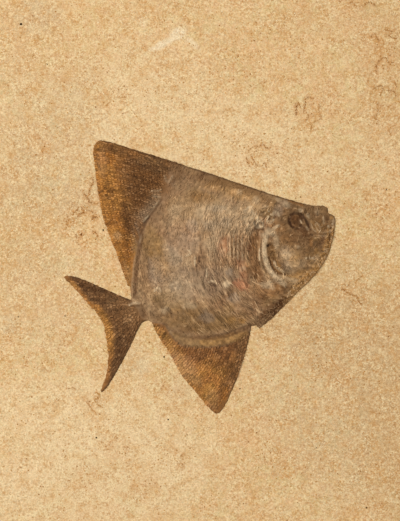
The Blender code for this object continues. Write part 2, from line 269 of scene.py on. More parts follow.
# Ragged patches on the body: tint, strength, rise, middle, half-lengths, turn in degrees. A strength
# below 0 clears that share of the tint instead. A patch's place in the list seeds its ragged edge.
BONE_PATCHES = [
    # broad tones of the flank, the back, the belly and the head
    ("tan", 0.7, 0.0, (-20, 56), (22, 19), 20),
    ("tan", 0.75, 0.2, (56, 53), (16, 11), -10),
    ("tan", 0.6, 0.0, (6, 62), (16, 12), 0),
    ("tan", 0.45, 0.0, (24, 50), (32, 20), -15),
    ("tan", 0.6, 0.0, (44, 76), (48, 10), -17),
    ("gold", 0.3, 0.0, (44, 76), (50, 11), -17),
    ("gold", 0.6, 0.0, (46, -66), (5, 4), 15),
    ("tan", 0.6, 0.0, (-28, 58), (12, 16), 0),
    ("tan", 0.6, 0.0, (-20, 50), (18, 16), 0),
    ("tan", 0.4, 0.0, (-35, -62), (16, 10), 0),
    ("tan", 0.4, 0.0, (-12, -52), (16, 8), 0),
    ("tan", 0.45, 0.0, (20, -62), (26, 9), 0),
    ("tan", 0.4, 0.0, (-66, 0), (12, 30), 0),
    ("umber", -0.8, 0.0, (97, 6), (13, 15), 15),
    ("olive", -0.8, 0.0, (95, 7), (12, 14), 15),
    ("tan", 0.8, 0.4, (96, 7), (11, 14), 15),
    ("tan", 0.45, 0.0, (118, 6), (12, 10), 0),
    ("olive", 0.7, 0.0, (-52, 18), (13, 26), 10),
    ("olive", 0.6, 0.0, (5, 68), (26, 9), -16),
    ("olive", 0.7, 0.0, (0, -66), (58, 15), 0),
    ("olive", 0.6, 0.0, (-22, -52), (28, 10), 0),
    ("olive", 0.6, 0.0, (-38, -40), (18, 8), 0),
    ("olive", 0.6, 0.0, (121, 8), (9, 10), 0),
    ("olive", 0.6, 0.0, (75, 52), (9, 7), 0),
    ("slate", 0.5, 0.0, (12, 38), (14, 8), 0),
    ("slate", 0.6, 0.0, (-31, 6), (13, 17), 0),
    ("slate", 0.7, 0.0, (33, -13), (6, 8), 0),
    ("slate", 0.6, 0.0, (-27, -28), (10, 8), 0),
    ("slate", 0.6, 0.0, (7, -62), (12, 8), 0),
    ("slate", 0.25, 0.0, (93, 12), (7, 8), 0),
    ("slate", 0.35, 0.0, (97, -5), (9, 8), 0),
    ("slate", 0.4, 0.0, (4, -24), (42, 24), 0),
    ("slate", 0.55, 0.0, (-48, -10), (10, 22), 0),
    ("slate", 0.5, 0.0, (-14, 20), (16, 12), 0),
    ("slate", 0.6, 0.0, (86, 56), (8, 9), 0),
    ("blush", 0.22, 0.0, (-20, 26), (22, 20), 20),
    ("blush", 0.4, 0.0, (26, 16), (9, 15), -20),
    ("blush", 0.4, 0.2, (48, -12), (6, 14), 8),
    ("blush", 0.7, 0.2, (44, -27), (10, 7), -10),
    ("blush", 0.7, 0.0, (55, 14), (3.5, 5), 0),
    ("blush", 0.15, 0.0, (72, 40), (12, 6), 0),
    ("umber", 0.45, 0.0, (93, 33), (10, 10), 0),
    ("rust", 0.25, 0.0, (86, 36), (10, 8), 0),
    ("rust", 0.3, 0.0, (53, -7), (6, 8), 0),
    ("rust", 0.3, 0.0, (75, -33), (22, 12), 0),
    ("blush", 0.35, 0.0, (45, -4), (6, 8), 0),
    ("umber", 0.7, 0.0, (112, 25), (20, 13), -25),
    ("umber", 0.45, 0.0, (124, 8), (11, 12), 0),
    ("umber", 0.6, -0.3, (92, -34), (10, 8), 30),
    ("umber", 0.75, -0.3, (80, -51), (24, 9), 42),
    ("umber", 0.35, 0.0, (-12, 98), (44, 10), -18),
    ("umber", 0.4, 0.0, (-32, 90), (15, 15), -18),
    ("umber", 0.5, 0.0, (-48, 52), (9, 14), -30),
    ("umber", 0.7, 0.0, (-66, -54), (11, 13), 0),
    ("umber", 0.3, 0.0, (22, -32), (20, 20), 0),
    ("umber", 0.35, 0.0, (62, -48), (16, 16), 0),
    ("umber", 0.28, 0.0, (0, -64), (62, 16), 0),
    ("umber", 0.5, 0.0, (-16, -76), (12, 9), 0),
    ("umber", 0.45, 0.0, (-46, -56), (16, 12), -20),
    ("umber", 0.6, -0.3, (58, -14), (8, 9), 0),
    ("umber", 0.22, 0.0, (-62, 0), (9, 40), 5),
    ("umber", 0.7, 0.0, (-30, 94), (16, 14), -18),
    ("umber", 0.85, -0.4, (139.8, 46), (3, 5), 0),
    ("umber", 0.3, 0.0, (142, 28), (4, 16), 5),
    ("ink", 0.9, -1.0, (74.5, 16.5), (2, 2), 0),
    ("chalk", 0.45, 0.0, (22, 50), (34, 22), -15),
    ("chalk", 0.3, 0.0, (15, 5), (9, 9), 0),
    ("chalk", 0.25, 0.0, (-28, -32), (24, 24), 0),
    ("chalk", 0.25, 0.2, (104, -7), (15, 9), 20),
    ("tan", 0.5, 0.0, (104, -8), (18, 12), 20),
    ("chalk", 0.75, 0.4, (29.5, -26), (6, 5), 0),
    ("chalk", 0.4, 0.2, (95, 6), (7, 9), 15),
    ("chalk", 0.6, 0.2, (91, -25), (6, 3.5), -20),
    ("chalk", 0.5, 0.3, (74, -28), (11, 4), -15),
    ("chalk", 0.55, 0.3, (54, 53), (9, 7), 0),
    ("tan", 0.5, 0.0, (110, -19), (16, 8), 40),
    ("umber", -0.5, 0.0, (108, -19), (14, 7), 40),
    ("umber", 0.7, 0.0, (70, -63), (18, 7), 42),
    ("umber", -0.4, 0.0, (32, -68), (9, 6), 0),
    ("tan", 0.5, 0.0, (-18, -50), (20, 8), 0),
    ("chalk", 0.35, 0.0, (-27, 52), (10, 12), 0),
    ("tan", 0.4, 0.0, (-33, -2), (13, 14), 0),
    ("rust", 0.25, 0.0, (5, 68), (16, 8), -15),
    ("umber", 0.3, 0.0, (66, 66), (8, 7), 0),
    # knots, stains and gaps about the shoulder girdle, the cheek and the jaw
    ("chalk", 0.6, 0.4, (71.5, 27.5), (5, 3.6), 0),
    ("chalk", 0.75, 0.4, (79, 29.4), (2.6, 2.2), 0),
    ("tan", 0.8, 0.0, (77.5, 42), (5, 4), 0),
    ("chalk", 0.35, 0.0, (77.5, 42), (4, 3), 0),
    ("rust", 0.6, 0.0, (59, 15), (3, 4), 0),
    ("umber", 0.7, -0.3, (60, -16), (5, 5.5), 0),
    ("chalk", 0.6, 0.4, (76, -25.5), (5, 5), 0),
    ("umber", 0.4, 0.0, (94, -32), (7, 5), 20),
    ("gold", 0.35, 0.0, (104, 0), (7, 9), 0),
    ("chalk", 0.6, 0.3, (77, 31), (7, 5), -15),
    ("umber", -0.8, 0.0, (96, -19), (14, 5), -14),
    ("tan", 0.75, 0.3, (95, -19.5), (14, 4.5), -14),
    ("chalk", 0.3, 0.2, (92, -19.5), (11, 4), -14),
    ("umber", -0.6, 0.0, (100, 2), (10, 10), 0),
    ("tan", 0.6, 0.2, (101, 3), (9, 11), 0),
    ("chalk", 0.15, 0.1, (100, 4), (8, 9), 0),
    ("umber", 0.45, 0.0, (100, 24), (13, 7), 0),
    ("rust", 0.25, 0.0, (100, 24), (13, 9), 0),
    ("umber", 0.5, 0.0, (73, 66), (6, 6), 0),
    ("chalk", 0.4, 0.2, (62, 66), (6, 6), 0),
    ("umber", -0.7, 0.0, (94, 63), (8, 6), -15),
    ("slate", 0.5, 0.1, (93, 63), (8, 6), -15),
    ("umber", 0.35, 0.0, (117, 10), (8, 10), 0),
    ("umber", -0.6, 0.0, (131, 3), (4, 8), 0),
    ("gold", 0.35, 0.0, (131, 38), (9, 9), 0),
    ("chalk", 0.6, 0.4, (53, 34), (4, 4.4), 0),
    ("chalk", 0.5, 0.4, (57, 47), (4, 3), 0),
    ("umber", -0.9, 0.0, (104, -22.5), (10, 5), -20),
    ("tan", 0.8, 0.2, (103, -22), (9, 4.5), -20),
    ("umber", -0.7, 0.0, (117, -15.5), (8, 5), 45),
    ("tan", 0.7, 0.2, (131, 4), (4, 7), 0),
    ("tan", 0.5, 0.1, (143.5, 50), (3.6, 4), 0),
    ("tan", 0.9, 0.1, (147, 43.5), (3, 5), 0),
    ("umber", 0.5, 0.0, (126, 26), (6, 3.4), 0),
    ("chalk", 0.35, 0.1, (95, 61.5), (6, 4), -15),
    ("chalk", 0.4, 0.1, (86, 67), (4, 3), -15),
    ("gold", 0.4, 0.0, (106, -13), (11, 7), 20),
    ("umber", 0.3, 0.0, (136, 49), (4, 4), 0),
    ("ink", -0.9, 0.0, (57.5, 46), (5, 4.5), 0),
    ("chalk", 0.7, 0.4, (57, 46), (4, 3.4), 0),
    ("chalk", 0.5, 0.3, (50, 53), (6, 4), 0),
    ("chalk", 0.35, 0.1, (33, 38), (30, 6), 36),
    ("chalk", 0.3, 0.1, (103, -22), (9, 3.6), -20),
    ("chalk", 0.3, 0.1, (129, 2), (4, 7), 0),
    ("umber", 0.45, 0.0, (104, 17.6), (5, 3), 0),
    ("umber", 0.45, 0.0, (130.5, 28), (4, 3.4), 0),
    ("umber", 0.5, 0.0, (93, 34), (4, 5), 0),
    ("umber", 0.9, -0.3, (75, -56), (16, 6), 41),
    ("umber", -0.7, 0.0, (82.5, -43), (7, 3.6), 41),
    ("tan", 0.6, 0.2, (82.5, -43), (7, 3.2), 41),
    ("umber", 0.6, -0.2, (68, 16), (2.4, 6), 0),
    ("umber", 0.5, 0.0, (66, 30), (3, 3.4), 0),
    ("umber", 0.45, 0.0, (76, 34.5), (4, 2.6), 0),
    ("tan", 0.8, 0.2, (124.5, 45), (3, 2.6), 0),
    ("tan", 0.8, 0.1, (143, 51), (3.4, 2.4), 0),
    ("chalk", 0.4, 0.1, (147, 43), (2, 4), 0),
    ("umber", 0.6, 0.0, (119, 26), (4, 3), 0),
    ("umber", 0.6, 0.0, (131.4, 26), (3.4, 4.4), 0),
    ("olive", 0.8, 0.0, (128, 24), (7, 4.4), 0),
    ("chalk", 0.4, 0.2, (84, -22), (6, 3), -25),
    # stains, pale flecks and holes in the head
    ("ink", 0.7, -0.4, (116.4, 53.2), (1.6, 1.6), 0),
    ("chalk", 0.45, 0.2, (111, 54.8), (3.4, 2.6), -30),
    ("chalk", 0.45, 0.2, (118.6, 49.2), (2.2, 3.2), 20),
    ("tan", 0.6, 0.1, (99.5, 59.5), (4, 2.6), -20),
    ("tan", 0.7, 0.2, (122.6, 44.2), (4.2, 3.6), 0),
    ("chalk", 0.22, 0.2, (129, 54), (3, 5.6), 0),
    ("ink", 0.5, -0.3, (130.4, 56.6), (1.5, 1.5), 0),
    ("ink", 0.5, -0.3, (129.6, 50), (1.5, 1.5), 0),
    ("ink", 0.45, -0.3, (123.4, 58.4), (1.5, 1.5), 0),
    ("gold", 0.5, 0.2, (145, 47), (3, 2.4), 0),
    ("chalk", 0.8, 0.4, (145.8, 40.2), (1.5, 1.5), 0),
    ("chalk", 0.7, 0.4, (146, 36.6), (1.5, 1.8), 0),
    ("chalk", 0.6, 0.4, (141.2, 37.4), (1.5, 2.2), 0),
    ("umber", 0.8, -0.4, (117.6, 28), (3.2, 4.6), 0),
    ("ink", 0.6, -0.4, (123.4, 28.2), (1.8, 1.8), 0),
    ("tan", 0.6, 0.2, (137.4, 23), (5.4, 5.4), 0),
    ("blush", 0.25, 0.0, (137.4, 23), (5.4, 5.4), 0),
    ("umber", 0.45, 0.0, (128, 21.5), (5, 7), 0),
    ("rust", 0.5, 0.0, (122, 20), (3, 6), 0),
    ("chalk", 0.35, 0.3, (107.8, 15), (2.2, 1.8), 0),
    ("olive", 0.8, 0.0, (121, 7), (4.6, 4), 0),
    ("umber", 0.35, 0.0, (121, 7), (3.4, 3), 0),
    ("gold", 0.5, 0.0, (128, 8), (2.8, 7), 0),
    ("chalk", 0.7, 0.3, (116.8, 2.8), (1.5, 1.6), 0),
    ("ink", 0.6, -0.3, (118.9, 2.4), (1.2, 1.6), 0),
    ("chalk", 0.65, 0.3, (120.8, 2.8), (1.3, 1.6), 0),
    ("chalk", 0.65, 0.3, (124, 2.6), (1.8, 1.8), 0),
    ("ink", 0.6, -0.3, (134.8, 10.5), (1.5, 1.5), 0),
    ("ink", 0.5, -0.3, (138.1, 10.5), (0.9, 0.9), 0),
    ("ink", 0.5, -0.3, (135.3, 5), (1.5, 1.8), 0),
    ("umber", 0.5, -0.3, (135, 14.4), (1.8, 2.2), 0),
    ("umber", 0.35, 0.0, (126, 33), (7, 6), 0),
    ("umber", 0.35, 0.0, (84, 12), (7, 10), 0),
    ("umber", -0.6, 0.0, (126, -6), (6, 12), 30),
    ("tan", 0.5, 0.1, (126, -6), (5, 12), 30),
    # later touches of tone, most of them on the flank and the hinder body
    ("chalk", 0.4, 0.2, (-38, -54), (6, 5), 0),
    ("umber", -0.7, 0.0, (34, -66.5), (9, 4), 10),
    ("tan", 0.6, 0.1, (34, -66.5), (9, 4), 10),
    ("chalk", 0.25, 0.1, (-20, 22), (26, 40), 0),
    ("umber", -0.6, 0.0, (-3, 79), (6, 10), 0),
    ("tan", 0.6, 0.0, (-3, 79), (6, 10), 0),
    ("slate", 0.5, 0.0, (20, 57), (12, 4.4), 0),
    ("tan", 0.6, 0.1, (30, 72), (16, 6), -15),
    ("chalk", 0.4, 0.2, (43, 75), (4, 4), 0),
    ("chalk", 0.45, 0.2, (22, 31), (12, 5), 15),
    ("chalk", 0.35, 0.2, (51, 46), (8, 5), -30),
    ("slate", 0.6, 0.0, (-8, 38), (8, 9), 0),
    ("umber", 0.35, 0.0, (47, 19), (3.6, 7), 0),
    ("chalk", 0.4, 0.1, (-12, -49), (10, 5.4), 0),
    ("tan", 0.6, 0.1, (-36, -54), (6, 5), 0),
    ("olive", 0.6, 0.0, (32, -52), (9, 6), 0),
    ("umber", 0.2, 0.0, (32, -52), (9, 6), 0),
    ("slate", 0.6, 0.0, (37, -41), (9, 6), 0),
    ("gold", 0.4, 0.0, (34, -65), (8, 5), 10),
    ("chalk", 0.3, 0.1, (24, 8), (5, 7), 0),
    ("tan", 0.4, 0.0, (-44, 2), (12, 22), 0),
    ("gold", 0.2, 0.0, (-44, 2), (12, 22), 0),
    ("umber", 0.4, 0.0, (-60, -58), (5, 6), 0),
    ("tan", 0.5, 0.1, (-50, -40), (6, 12), 20),
    ("tan", 0.7, 0.0, (-50, -70.5), (3, 3), 0),
    ("tan", 0.45, 0.1, (-62, -29), (8, 9), 0),
    ("tan", 0.5, 0.0, (-12, 100), (14, 8), -18),
    ("umber", -0.4, 0.0, (-10, 101), (13, 8), -18),
    ("tan", 0.35, 0.0, (104, -21), (12, 6), 30),
    ("chalk", 0.35, 0.1, (19, 26), (8, 14), -20),
    ("tan", 0.5, 0.0, (14, 40), (14, 12), 0),
    ("tan", 0.5, 0.0, (36, 18), (4, 9), 0),
    ("umber", 0.3, 0.0, (-21, 15), (6, 9), 0),
    ("umber", 0.35, 0.0, (-22, 84), (12, 7), -15),
    ("umber", 0.4, 0.0, (10, 92), (14, 3.4), -18),
    ("tan", 0.7, 0.0, (17, 55), (5, 7), 0),
    ("slate", 0.5, 0.0, (28, 42), (7, 7), 0),
    ("tan", 0.7, 0.2, (57, 56), (9, 6), 0),
    ("chalk", 0.5, 0.3, (53, 52), (7, 4.4), 0),
    ("slate", 0.5, 0.0, (-34, 88), (8, 12), 0),
    ("umber", 0.35, 0.0, (-37, 96), (8, 7), 0),
    ("tan", 0.5, 0.0, (-22, 50), (6, 5), 0),
    ("umber", 0.25, 0.0, (-34, 30), (9, 6), 0),
    ("umber", 0.5, 0.0, (-34, 90), (5, 9), 0),
    ("chalk", 0.6, 0.2, (51, 45), (12, 10), 0),
    ("tan", 0.5, 0.0, (40, 50), (26, 9), -10),
    ("umber", 0.6, -0.2, (71, -40), (6, 5), 0),
    ("olive", 0.5, 0.0, (76, -44), (12, 7), 40),
    ("umber", 0.3, 0.0, (-34, 45), (6, 8), 0),
    ("umber", 0.12, 0.0, (-10, 76), (30, 12), -17),
    ("umber", 0.3, 0.0, (95, 20), (16, 8), 0),
    ("umber", 0.6, 0.0, (-71, -41), (4, 2.4), 0),
    ("rust", 0.4, 0.0, (104, 44), (8, 8), 0),
    ("chalk", 0.3, 0.1, (40, 40), (26, 14), 0),
    ("chalk", 0.45, 0.1, (14, 20), (11, 17), -15),
    ("chalk", 0.4, 0.1, (47, -9), (5, 4), 0),
    ("umber", 0.28, 0.0, (-26, 23), (9, 12), 0),
    ("umber", 0.6, 0.0, (-38, 98), (6, 8), 0),
    ("chalk", 0.3, 0.1, (-67, 24), (3, 7), 0),
    ("umber", 0.35, 0.0, (90, 22), (12, 10), 0),
    ("olive", 0.5, 0.0, (124, 12), (10, 8), 0),
]

# Ragged patches on the fins: tint, strength, middle, half-lengths, turn in degrees.
FIN_PATCHES = [
    # the dorsal fin
    ("umber", -0.3, (-84, 98), (9, 20), 0),
    ("umber", -0.8, (-93, 28), (7, 12), 25),
    ("gold", 0.55, (-93, 28), (7, 12), 25),
    ("umber", 0.85, (-80, 46), (7, 30), 12),
    ("umber", 0.3, (-86, -8), (4, 18), 15),
    ("umber", 0.95, (-35, 96), (9, 16), 0),
    ("umber", 0.8, (-50, 109), (28, 8), -18),
    ("chalk", 0.15, (-48, 73), (6, 4), 10),
    ("umber", 0.7, (-92, 121), (19, 6), -14),
    ("gold", 0.4, (-92, 63), (24, 14), 0),
    ("umber", 0.5, (-81, 22), (4, 11), 10),
    ("umber", -0.7, (-72, 16), (4.4, 15), 12),
    ("gold", 0.5, (-72, 16), (4.4, 15), 12),
    ("umber", -0.7, (-79, -14), (5, 12), 15),
    ("rust", -0.5, (-79, -14), (5, 14), 15),
    ("gold", 0.5, (-79, -14), (5, 12), 15),
    ("tan", 0.8, (-93, 27), (4.6, 12), 20),
    ("umber", 0.5, (-85, 112), (9, 7), 0),
    ("umber", -0.45, (-56, 110.5), (17, 4.4), -18),
    ("rust", 0.45, (-72, 96), (10, 18), 0),
    ("gold", 0.3, (-103, 62), (9, 18), 10),
    ("rust", 0.4, (-63, 34), (6, 14), 20),
    ("fin", -0.6, (-109, 98), (8, 32), 4),
    ("fin", -0.6, (-93, 27), (6, 13), 20),
    ("umber", -0.6, (-76, 14), (3, 12), 12),
    ("rust", 0.7, (-108, 72), (6, 28), 8),
    ("tan", 0.6, (-87, 23), (4, 4), 0),
    ("chalk", 0.12, (-108, 110), (7, 18), 4),
    ("rust", 0.7, (-83, 52), (5, 14), 12),
    ("rust", 0.6, (-70, 28), (3, 10), 12),
    ("umber", 0.5, (-67, 53), (4, 7), -20),
    ("rust", -0.7, (-46, 105), (30, 12), -18),
    ("olive", 0.5, (-46, 105), (30, 12), -18),
    # the anal fin, with a few last touches on the dorsal fin
    ("gold", 0.6, (-23, -113), (5, 7), 30),
    ("tan", 0.4, (6, -137), (4, 10), 0),
    ("umber", -0.6, (-5, -128), (18, 20), -45),
    ("umber", -0.6, (9, -146), (9, 13), 0),
    ("umber", -0.3, (-14, -100), (14, 9), 0),
    ("olive", 0.5, (-42, -78), (8, 9), 0),
    ("rust", -0.3, (-42, -78), (8, 9), 0),
    ("umber", 0.6, (26, -102), (11, 18), 0),
    ("rust", 0.35, (-100, 75), (12, 40), 8),
    ("umber", -0.4, (33, -142), (9, 22), -20),
    ("olive", 0.6, (36.5, -112), (3.5, 14), -15),
    ("umber", -0.5, (-8, -124), (30, 13), -45),
    ("gold", 0.4, (-8, -124), (30, 12), -45),
    ("rust", 1.0, (17, -154), (10, 13), 0),
    ("umber", -0.7, (14, -150), (8, 12), 0),
    ("gold", 0.45, (10, -144), (8, 14), -20),
    ("umber", -0.7, (-22, -109), (15, 7), -52),
    ("gold", 0.5, (-22, -109), (14, 6), -52),
    ("umber", 0.35, (24, -122), (8, 9), 0),
    ("rust", -0.6, (-36, -86), (12, 6), -52),
    ("blush", -0.7, (-36, -86), (12, 6), -52),
    ("olive", 0.8, (-36, -86), (12, 6), -52),
    ("tan", 0.5, (-20, -112), (24, 8), -50),
    ("gold", 0.6, (13, -148), (8, 15), 0),
    ("rust", -0.4, (-20, -112), (24, 8), -50),
    ("tan", 0.5, (5, -130), (3, 9), -10),
    ("tan", 0.6, (1, -97), (4, 3.4), 0),
    ("umber", -0.7, (1, -97), (4, 3.4), 0),
    ("gold", 0.35, (30, -84), (24, 5), 8),
    ("umber", -0.9, (8, -147), (9, 17), -30),
    ("gold", 0.85, (8, -147), (9, 17), -30),
    ("fin", -0.7, (8, -147), (11, 18), -30),
    ("fin", -0.5, (-22, -112), (22, 8), -50),
    ("fin", -0.6, (-3, -125), (19, 12), -30),
    ("umber", -0.7, (-3, -125), (17, 11), -30),
    ("chalk", 0.18, (-16, -118), (30, 12), -50),
    ("chalk", 0.14, (14, -152), (10, 14), 0),
    ("rust", 0.9, (27, -146), (6, 15), -20),
    ("umber", 0.8, (-39, 98), (6, 8), 0),
    ("chalk", 0.25, (-91, 27), (5, 6), 0),
    # the tail
    ("umber", 0.85, (-88, -89), (6, 9), 10),
    ("ink", 0.3, (-87, -89), (3.5, 5), 0),
    ("umber", -0.4, (-76, -58), (12, 12), 0),
    ("umber", 0.35, (-104, -53), (8, 6), -45),
    ("umber", -0.7, (-138, -27), (8, 3.4), -38),
    ("gold", 0.5, (-138, -27), (8, 3), -38),
    ("umber", -0.8, (-100, -80), (4, 18), 0),
    ("gold", 0.6, (-100, -80), (4, 18), 0),
]


def colour(hex_code):
    """Linear red, green, blue and alpha of an sRGB hex colour."""
    parts = [int(hex_code[start:start + 2], 16) / 255 for start in (1, 3, 5)]
    linear = [part / 12.92 if part <= 0.04045 else ((part + 0.055) / 1.055) ** 2.4 for part in parts]
    return linear + [1.0]


# ---- plans and patterns, in millimetres ----


def fade(value, low, high):
    """0 at low and 1 at high, eased at both ends."""
    share = np.clip((value - low) / (high - low), 0, 1)
    return share * share * (3 - 2 * share)


def mottle(x, y, size, seed, layers=1):
    """Smooth random values about 0, mostly from -1 to 1, in blotches of this size."""
    total, weight, strength = 0, 0, 1.0
    for layer in range(layers):
        lattice = np.random.default_rng(seed + layer).uniform(-1, 1, (256, 256))
        across, up = x * 2 ** layer / size, y * 2 ** layer / size
        column, row = np.floor(across).astype(int), np.floor(up).astype(int)
        right, top = fade(across - column, 0, 1), fade(up - row, 0, 1)
        corners = [lattice[(row + j) % 256, (column + i) % 256] for j in (0, 1) for i in (0, 1)]
        lower = corners[0] * (1 - right) + corners[1] * right
        upper = corners[2] * (1 - right) + corners[3] * right
        total = total + strength * (lower * (1 - top) + upper * top)
        weight += strength
        strength *= 0.55
    return total / weight


def curved(knots, closed=False, step=0.9):
    """Evenly spaced points along a curve through these knots, each (x, y) or (x, y, CORNER)."""
    places = [Vector(knot[:2]) for knot in knots]
    broken = [CORNER in knot for knot in knots]
    count = len(places)
    points = []
    for index in range(count if closed else count - 1):
        start, end = places[index], places[(index + 1) % count]
        before = places[index - 1] if closed or index else start
        after = places[(index + 2) % count] if closed or index + 2 < count else end
        leaving = end - start if broken[index] else (end - before)
        arriving = end - start if broken[(index + 1) % count] else (after - start)
        reach = (end - start).length / 3
        steps = max(1, round((end - start).length / step))
        first, second = start + leaving.normalized() * reach, end - arriving.normalized() * reach
        points += interpolate_bezier(start, first, second, end, steps + 1)[:-1]
    if not closed:
        points.append(places[-1])
    return np.array(points)


def nearest(x, y, route):
    """How far each point is from a route, and where along it the nearest place is, from 0 to 1."""
    lengths = np.hypot(*np.diff(route, axis=0).T)
    before = np.concatenate([[0], np.cumsum(lengths)])
    distance, share = np.full(x.shape, np.inf), np.zeros(x.shape)
    for index, length in enumerate(lengths):
        if length == 0:
            continue
        (ax, ay), (bx, by) = route[index], route[index + 1]
        along = np.clip(((x - ax) * (bx - ax) + (y - ay) * (by - ay)) / length ** 2, 0, 1)
        here = np.hypot(x - ax - along * (bx - ax), y - ay - along * (by - ay))
        closer = here < distance
        distance = np.where(closer, here, distance)
        share = np.where(closer, (before[index] + along * length) / before[-1], share)
    return distance, share


def depth_inside(x, y, outline):
    """How deep each point lies inside a closed outline; outside it, minus the distance to it."""
    ring = np.vstack([outline, outline[:1]])
    inside = np.zeros(x.shape, bool)
    for (ax, ay), (bx, by) in zip(ring, ring[1:]):
        if ay != by:
            crossing = (ay > y) != (by > y)
            inside ^= crossing & (x < (bx - ax) * (y - ay) / (by - ay) + ax)
    distance, _ = nearest(x, y, ring)
    return np.where(inside, distance, -distance)


def line_mark(x, y, route, width, edge):
    """1 along a route, tapering at both ends, and 0 away from it."""
    reach = width / 2 + edge
    mark = np.zeros(x.shape)
    points = curved(route, step=3.0)
    low, high = points.min(0) - reach, points.max(0) + reach
    near = (x > low[0]) & (x < high[0]) & (y > low[1]) & (y < high[1])
    distance, share = nearest(x[near], y[near], points)
    taper = np.clip(6 * share * (1 - share) + 0.35, 0, 1)
    mark[near] = 1 - fade(distance, width / 2 * taper, width / 2 * taper + edge)
    return mark


def patch_mark(x, y, middle, reach, turn, seed):
    """1 in the middle of a ragged oval patch and 0 outside it."""
    dx, dy = x - middle[0], y - middle[1]
    c, s = math.cos(math.radians(turn)), math.sin(math.radians(turn))
    ring = np.hypot((dx * c + dy * s) / reach[0], (dy * c - dx * s) / reach[1])
    return 1 - fade(ring + 0.35 * mottle(x, y, min(reach) * 0.8, seed, 3), 0.45, 1.15)


def distance_to(x, y, knots):
    """How far each point is from a curve through these knots."""
    return nearest(x, y, curved(knots, step=3.0))[0]


# ---- the fish ----


def from_trailing_edges(x, y):
    """How far each point is from the nearest trailing edge of a fin."""
    edges = (DORSAL_TRAILING, TAIL_TRAILING, ANAL_TRAILING)
    return np.minimum.reduce([distance_to(x, y, edge) for edge in edges])


def fish_parts(x, y, body_depth, wander):
    """How far each point belongs to the body, the dorsal fin, the anal fin and the tail, from 0 to 1.
    The body runs out softly into the base of the dorsal fin, and firmly everywhere else."""
    softness = 1.5 + 11 * fade(y, 50, 80)
    body = fade(body_depth + softness * 0.5 * wander, -softness, softness)
    body = np.where((x > -20) & (y > -50), 1, body)
    dorsal = (1 - body) * (y > -40) * (y > -0.69 * x - 88) * (x < -15)
    tail = (1 - body) * (1 - (dorsal > 0)) * (x < -58)
    anal = (1 - body) * (1 - (dorsal > 0)) * (1 - (tail > 0)) * (y < 0)
    return body, dorsal, anal, tail


def marked(tint, strength, mark):
    """A tint with a mark laid on it; a strength below 0 clears that share of the tint instead."""
    return np.maximum(tint, strength * mark) if strength > 0 else tint * (1 + strength * mark)


def stain_dorsal_fin(layers, x, y, fin, wander, clouds, flecks):
    """The dorsal fin: rusty outside, dark in the middle, paler again by its base."""
    from_edge, from_base = distance_to(x, y, DORSAL_TRAILING), distance_to(x, y, DORSAL_BASE)
    low = 1 - fade(y, 0, 70)
    outer = 1 - fade(from_edge + 9 * wander, 18 - 5 * low, 38 - 15 * low)
    near_base = (1 - fade(from_base + 6 * wander, 8 - 4 * low, 24 - 12 * low)) * (1 - fade(y, 60, 85))
    leading = 1 - fade(distance_to(x, y, DORSAL_LEADING) + 5 * wander, 4, 15)
    middle = (1 - outer) * (0.8 - 0.45 * near_base) * (1 - 0.45 * leading)
    layers["rust"] += fin * outer * (1.0 - 0.3 * leading)
    layers["rust"] += fin * (1 - outer) * 0.75 * (1 - near_base)
    layers["gold"] += fin * outer * 0.45 * clouds
    layers["umber"] += fin * np.maximum(middle, 0.35 * leading)
    layers["umber"] += fin * outer * (0.6 - 0.35 * low) * flecks
    layers["slate"] += fin * 0.3 * near_base
    layers["fin"] += fin


def stain_anal_fin(layers, x, y, fin, wander, clouds, flecks):
    """The anal fin: rusty, darker under its base, greyer along its leading edge, and bare of rays and
    stain on the smooth band next to the body."""
    from_base = distance_to(x, y, ANAL_BASE)
    strip = 1 - fade(distance_to(x, y, ANAL_LEADING) + 3 * wander, 7, 18)
    bare = 1 + 9 * fade(x, -42, -18)
    under = (1 - fade(from_base + 8 * wander, 16, 38)) * fade(from_base, bare - 2, bare + 3)
    under *= fade(distance_to(x, y, ANAL_TRAILING) + 4 * wander, 5, 18)
    tip = 1 - fade(y, -158, -130)
    off_band = fade(from_base, bare, bare + 4)
    golden = (0.25 + 0.45 * clouds) * (1 - strip) * (1 - 0.8 * under) * (1 - 0.6 * tip)
    layers["blush"] += fin * 0.7 * (1 - strip) * off_band
    layers["rust"] += fin * (0.75 - 0.2 * strip * (1 - tip)) * (1 - 0.3 * under) * off_band
    layers["gold"] += fin * golden * off_band
    layers["umber"] += fin * np.maximum(0.5 * strip * (1 - 0.5 * tip), 0.5 * under)
    layers["umber"] += fin * 0.4 * flecks * (1 - strip)
    layers["fin"] += fin * fade(from_base, bare - 3, bare + 1)


def stain_tail(layers, x, y, fin, wander, flecks):
    """The tail: dark lobes with a rusty fringe, widest in the fork."""
    fork = 1 - fade(np.hypot(x + 103, y + 76), 10, 40)
    fringe = 1 - fade(distance_to(x, y, TAIL_TRAILING) + 3 * wander, 2 + 3.5 * fork, 7 + 5.5 * fork)
    lobe_ends = fade(y, -42, -28) + 0.7 * fade(-y, 82, 100)
    dark = 0.62 + 0.25 * lobe_ends + 0.2 * flecks
    layers["rust"] += fin * (0.4 + 0.5 * fringe)
    layers["gold"] += fin * 0.6 * fringe * fork
    layers["umber"] += fin * (1 - fringe * (1 - 0.4 * lobe_ends)) * dark
    layers["fin"] += fin


def back_band(x, y, body, wander):
    """The dark band along the back, narrowing towards the head."""
    from_back = distance_to(x, y, BACK) + 2.5 * wander
    return body * (1 - fade(from_back, 8 - 0.03 * (x + 20), 14 - 0.035 * (x + 20))) * (1 - fade(x, 60, 95))


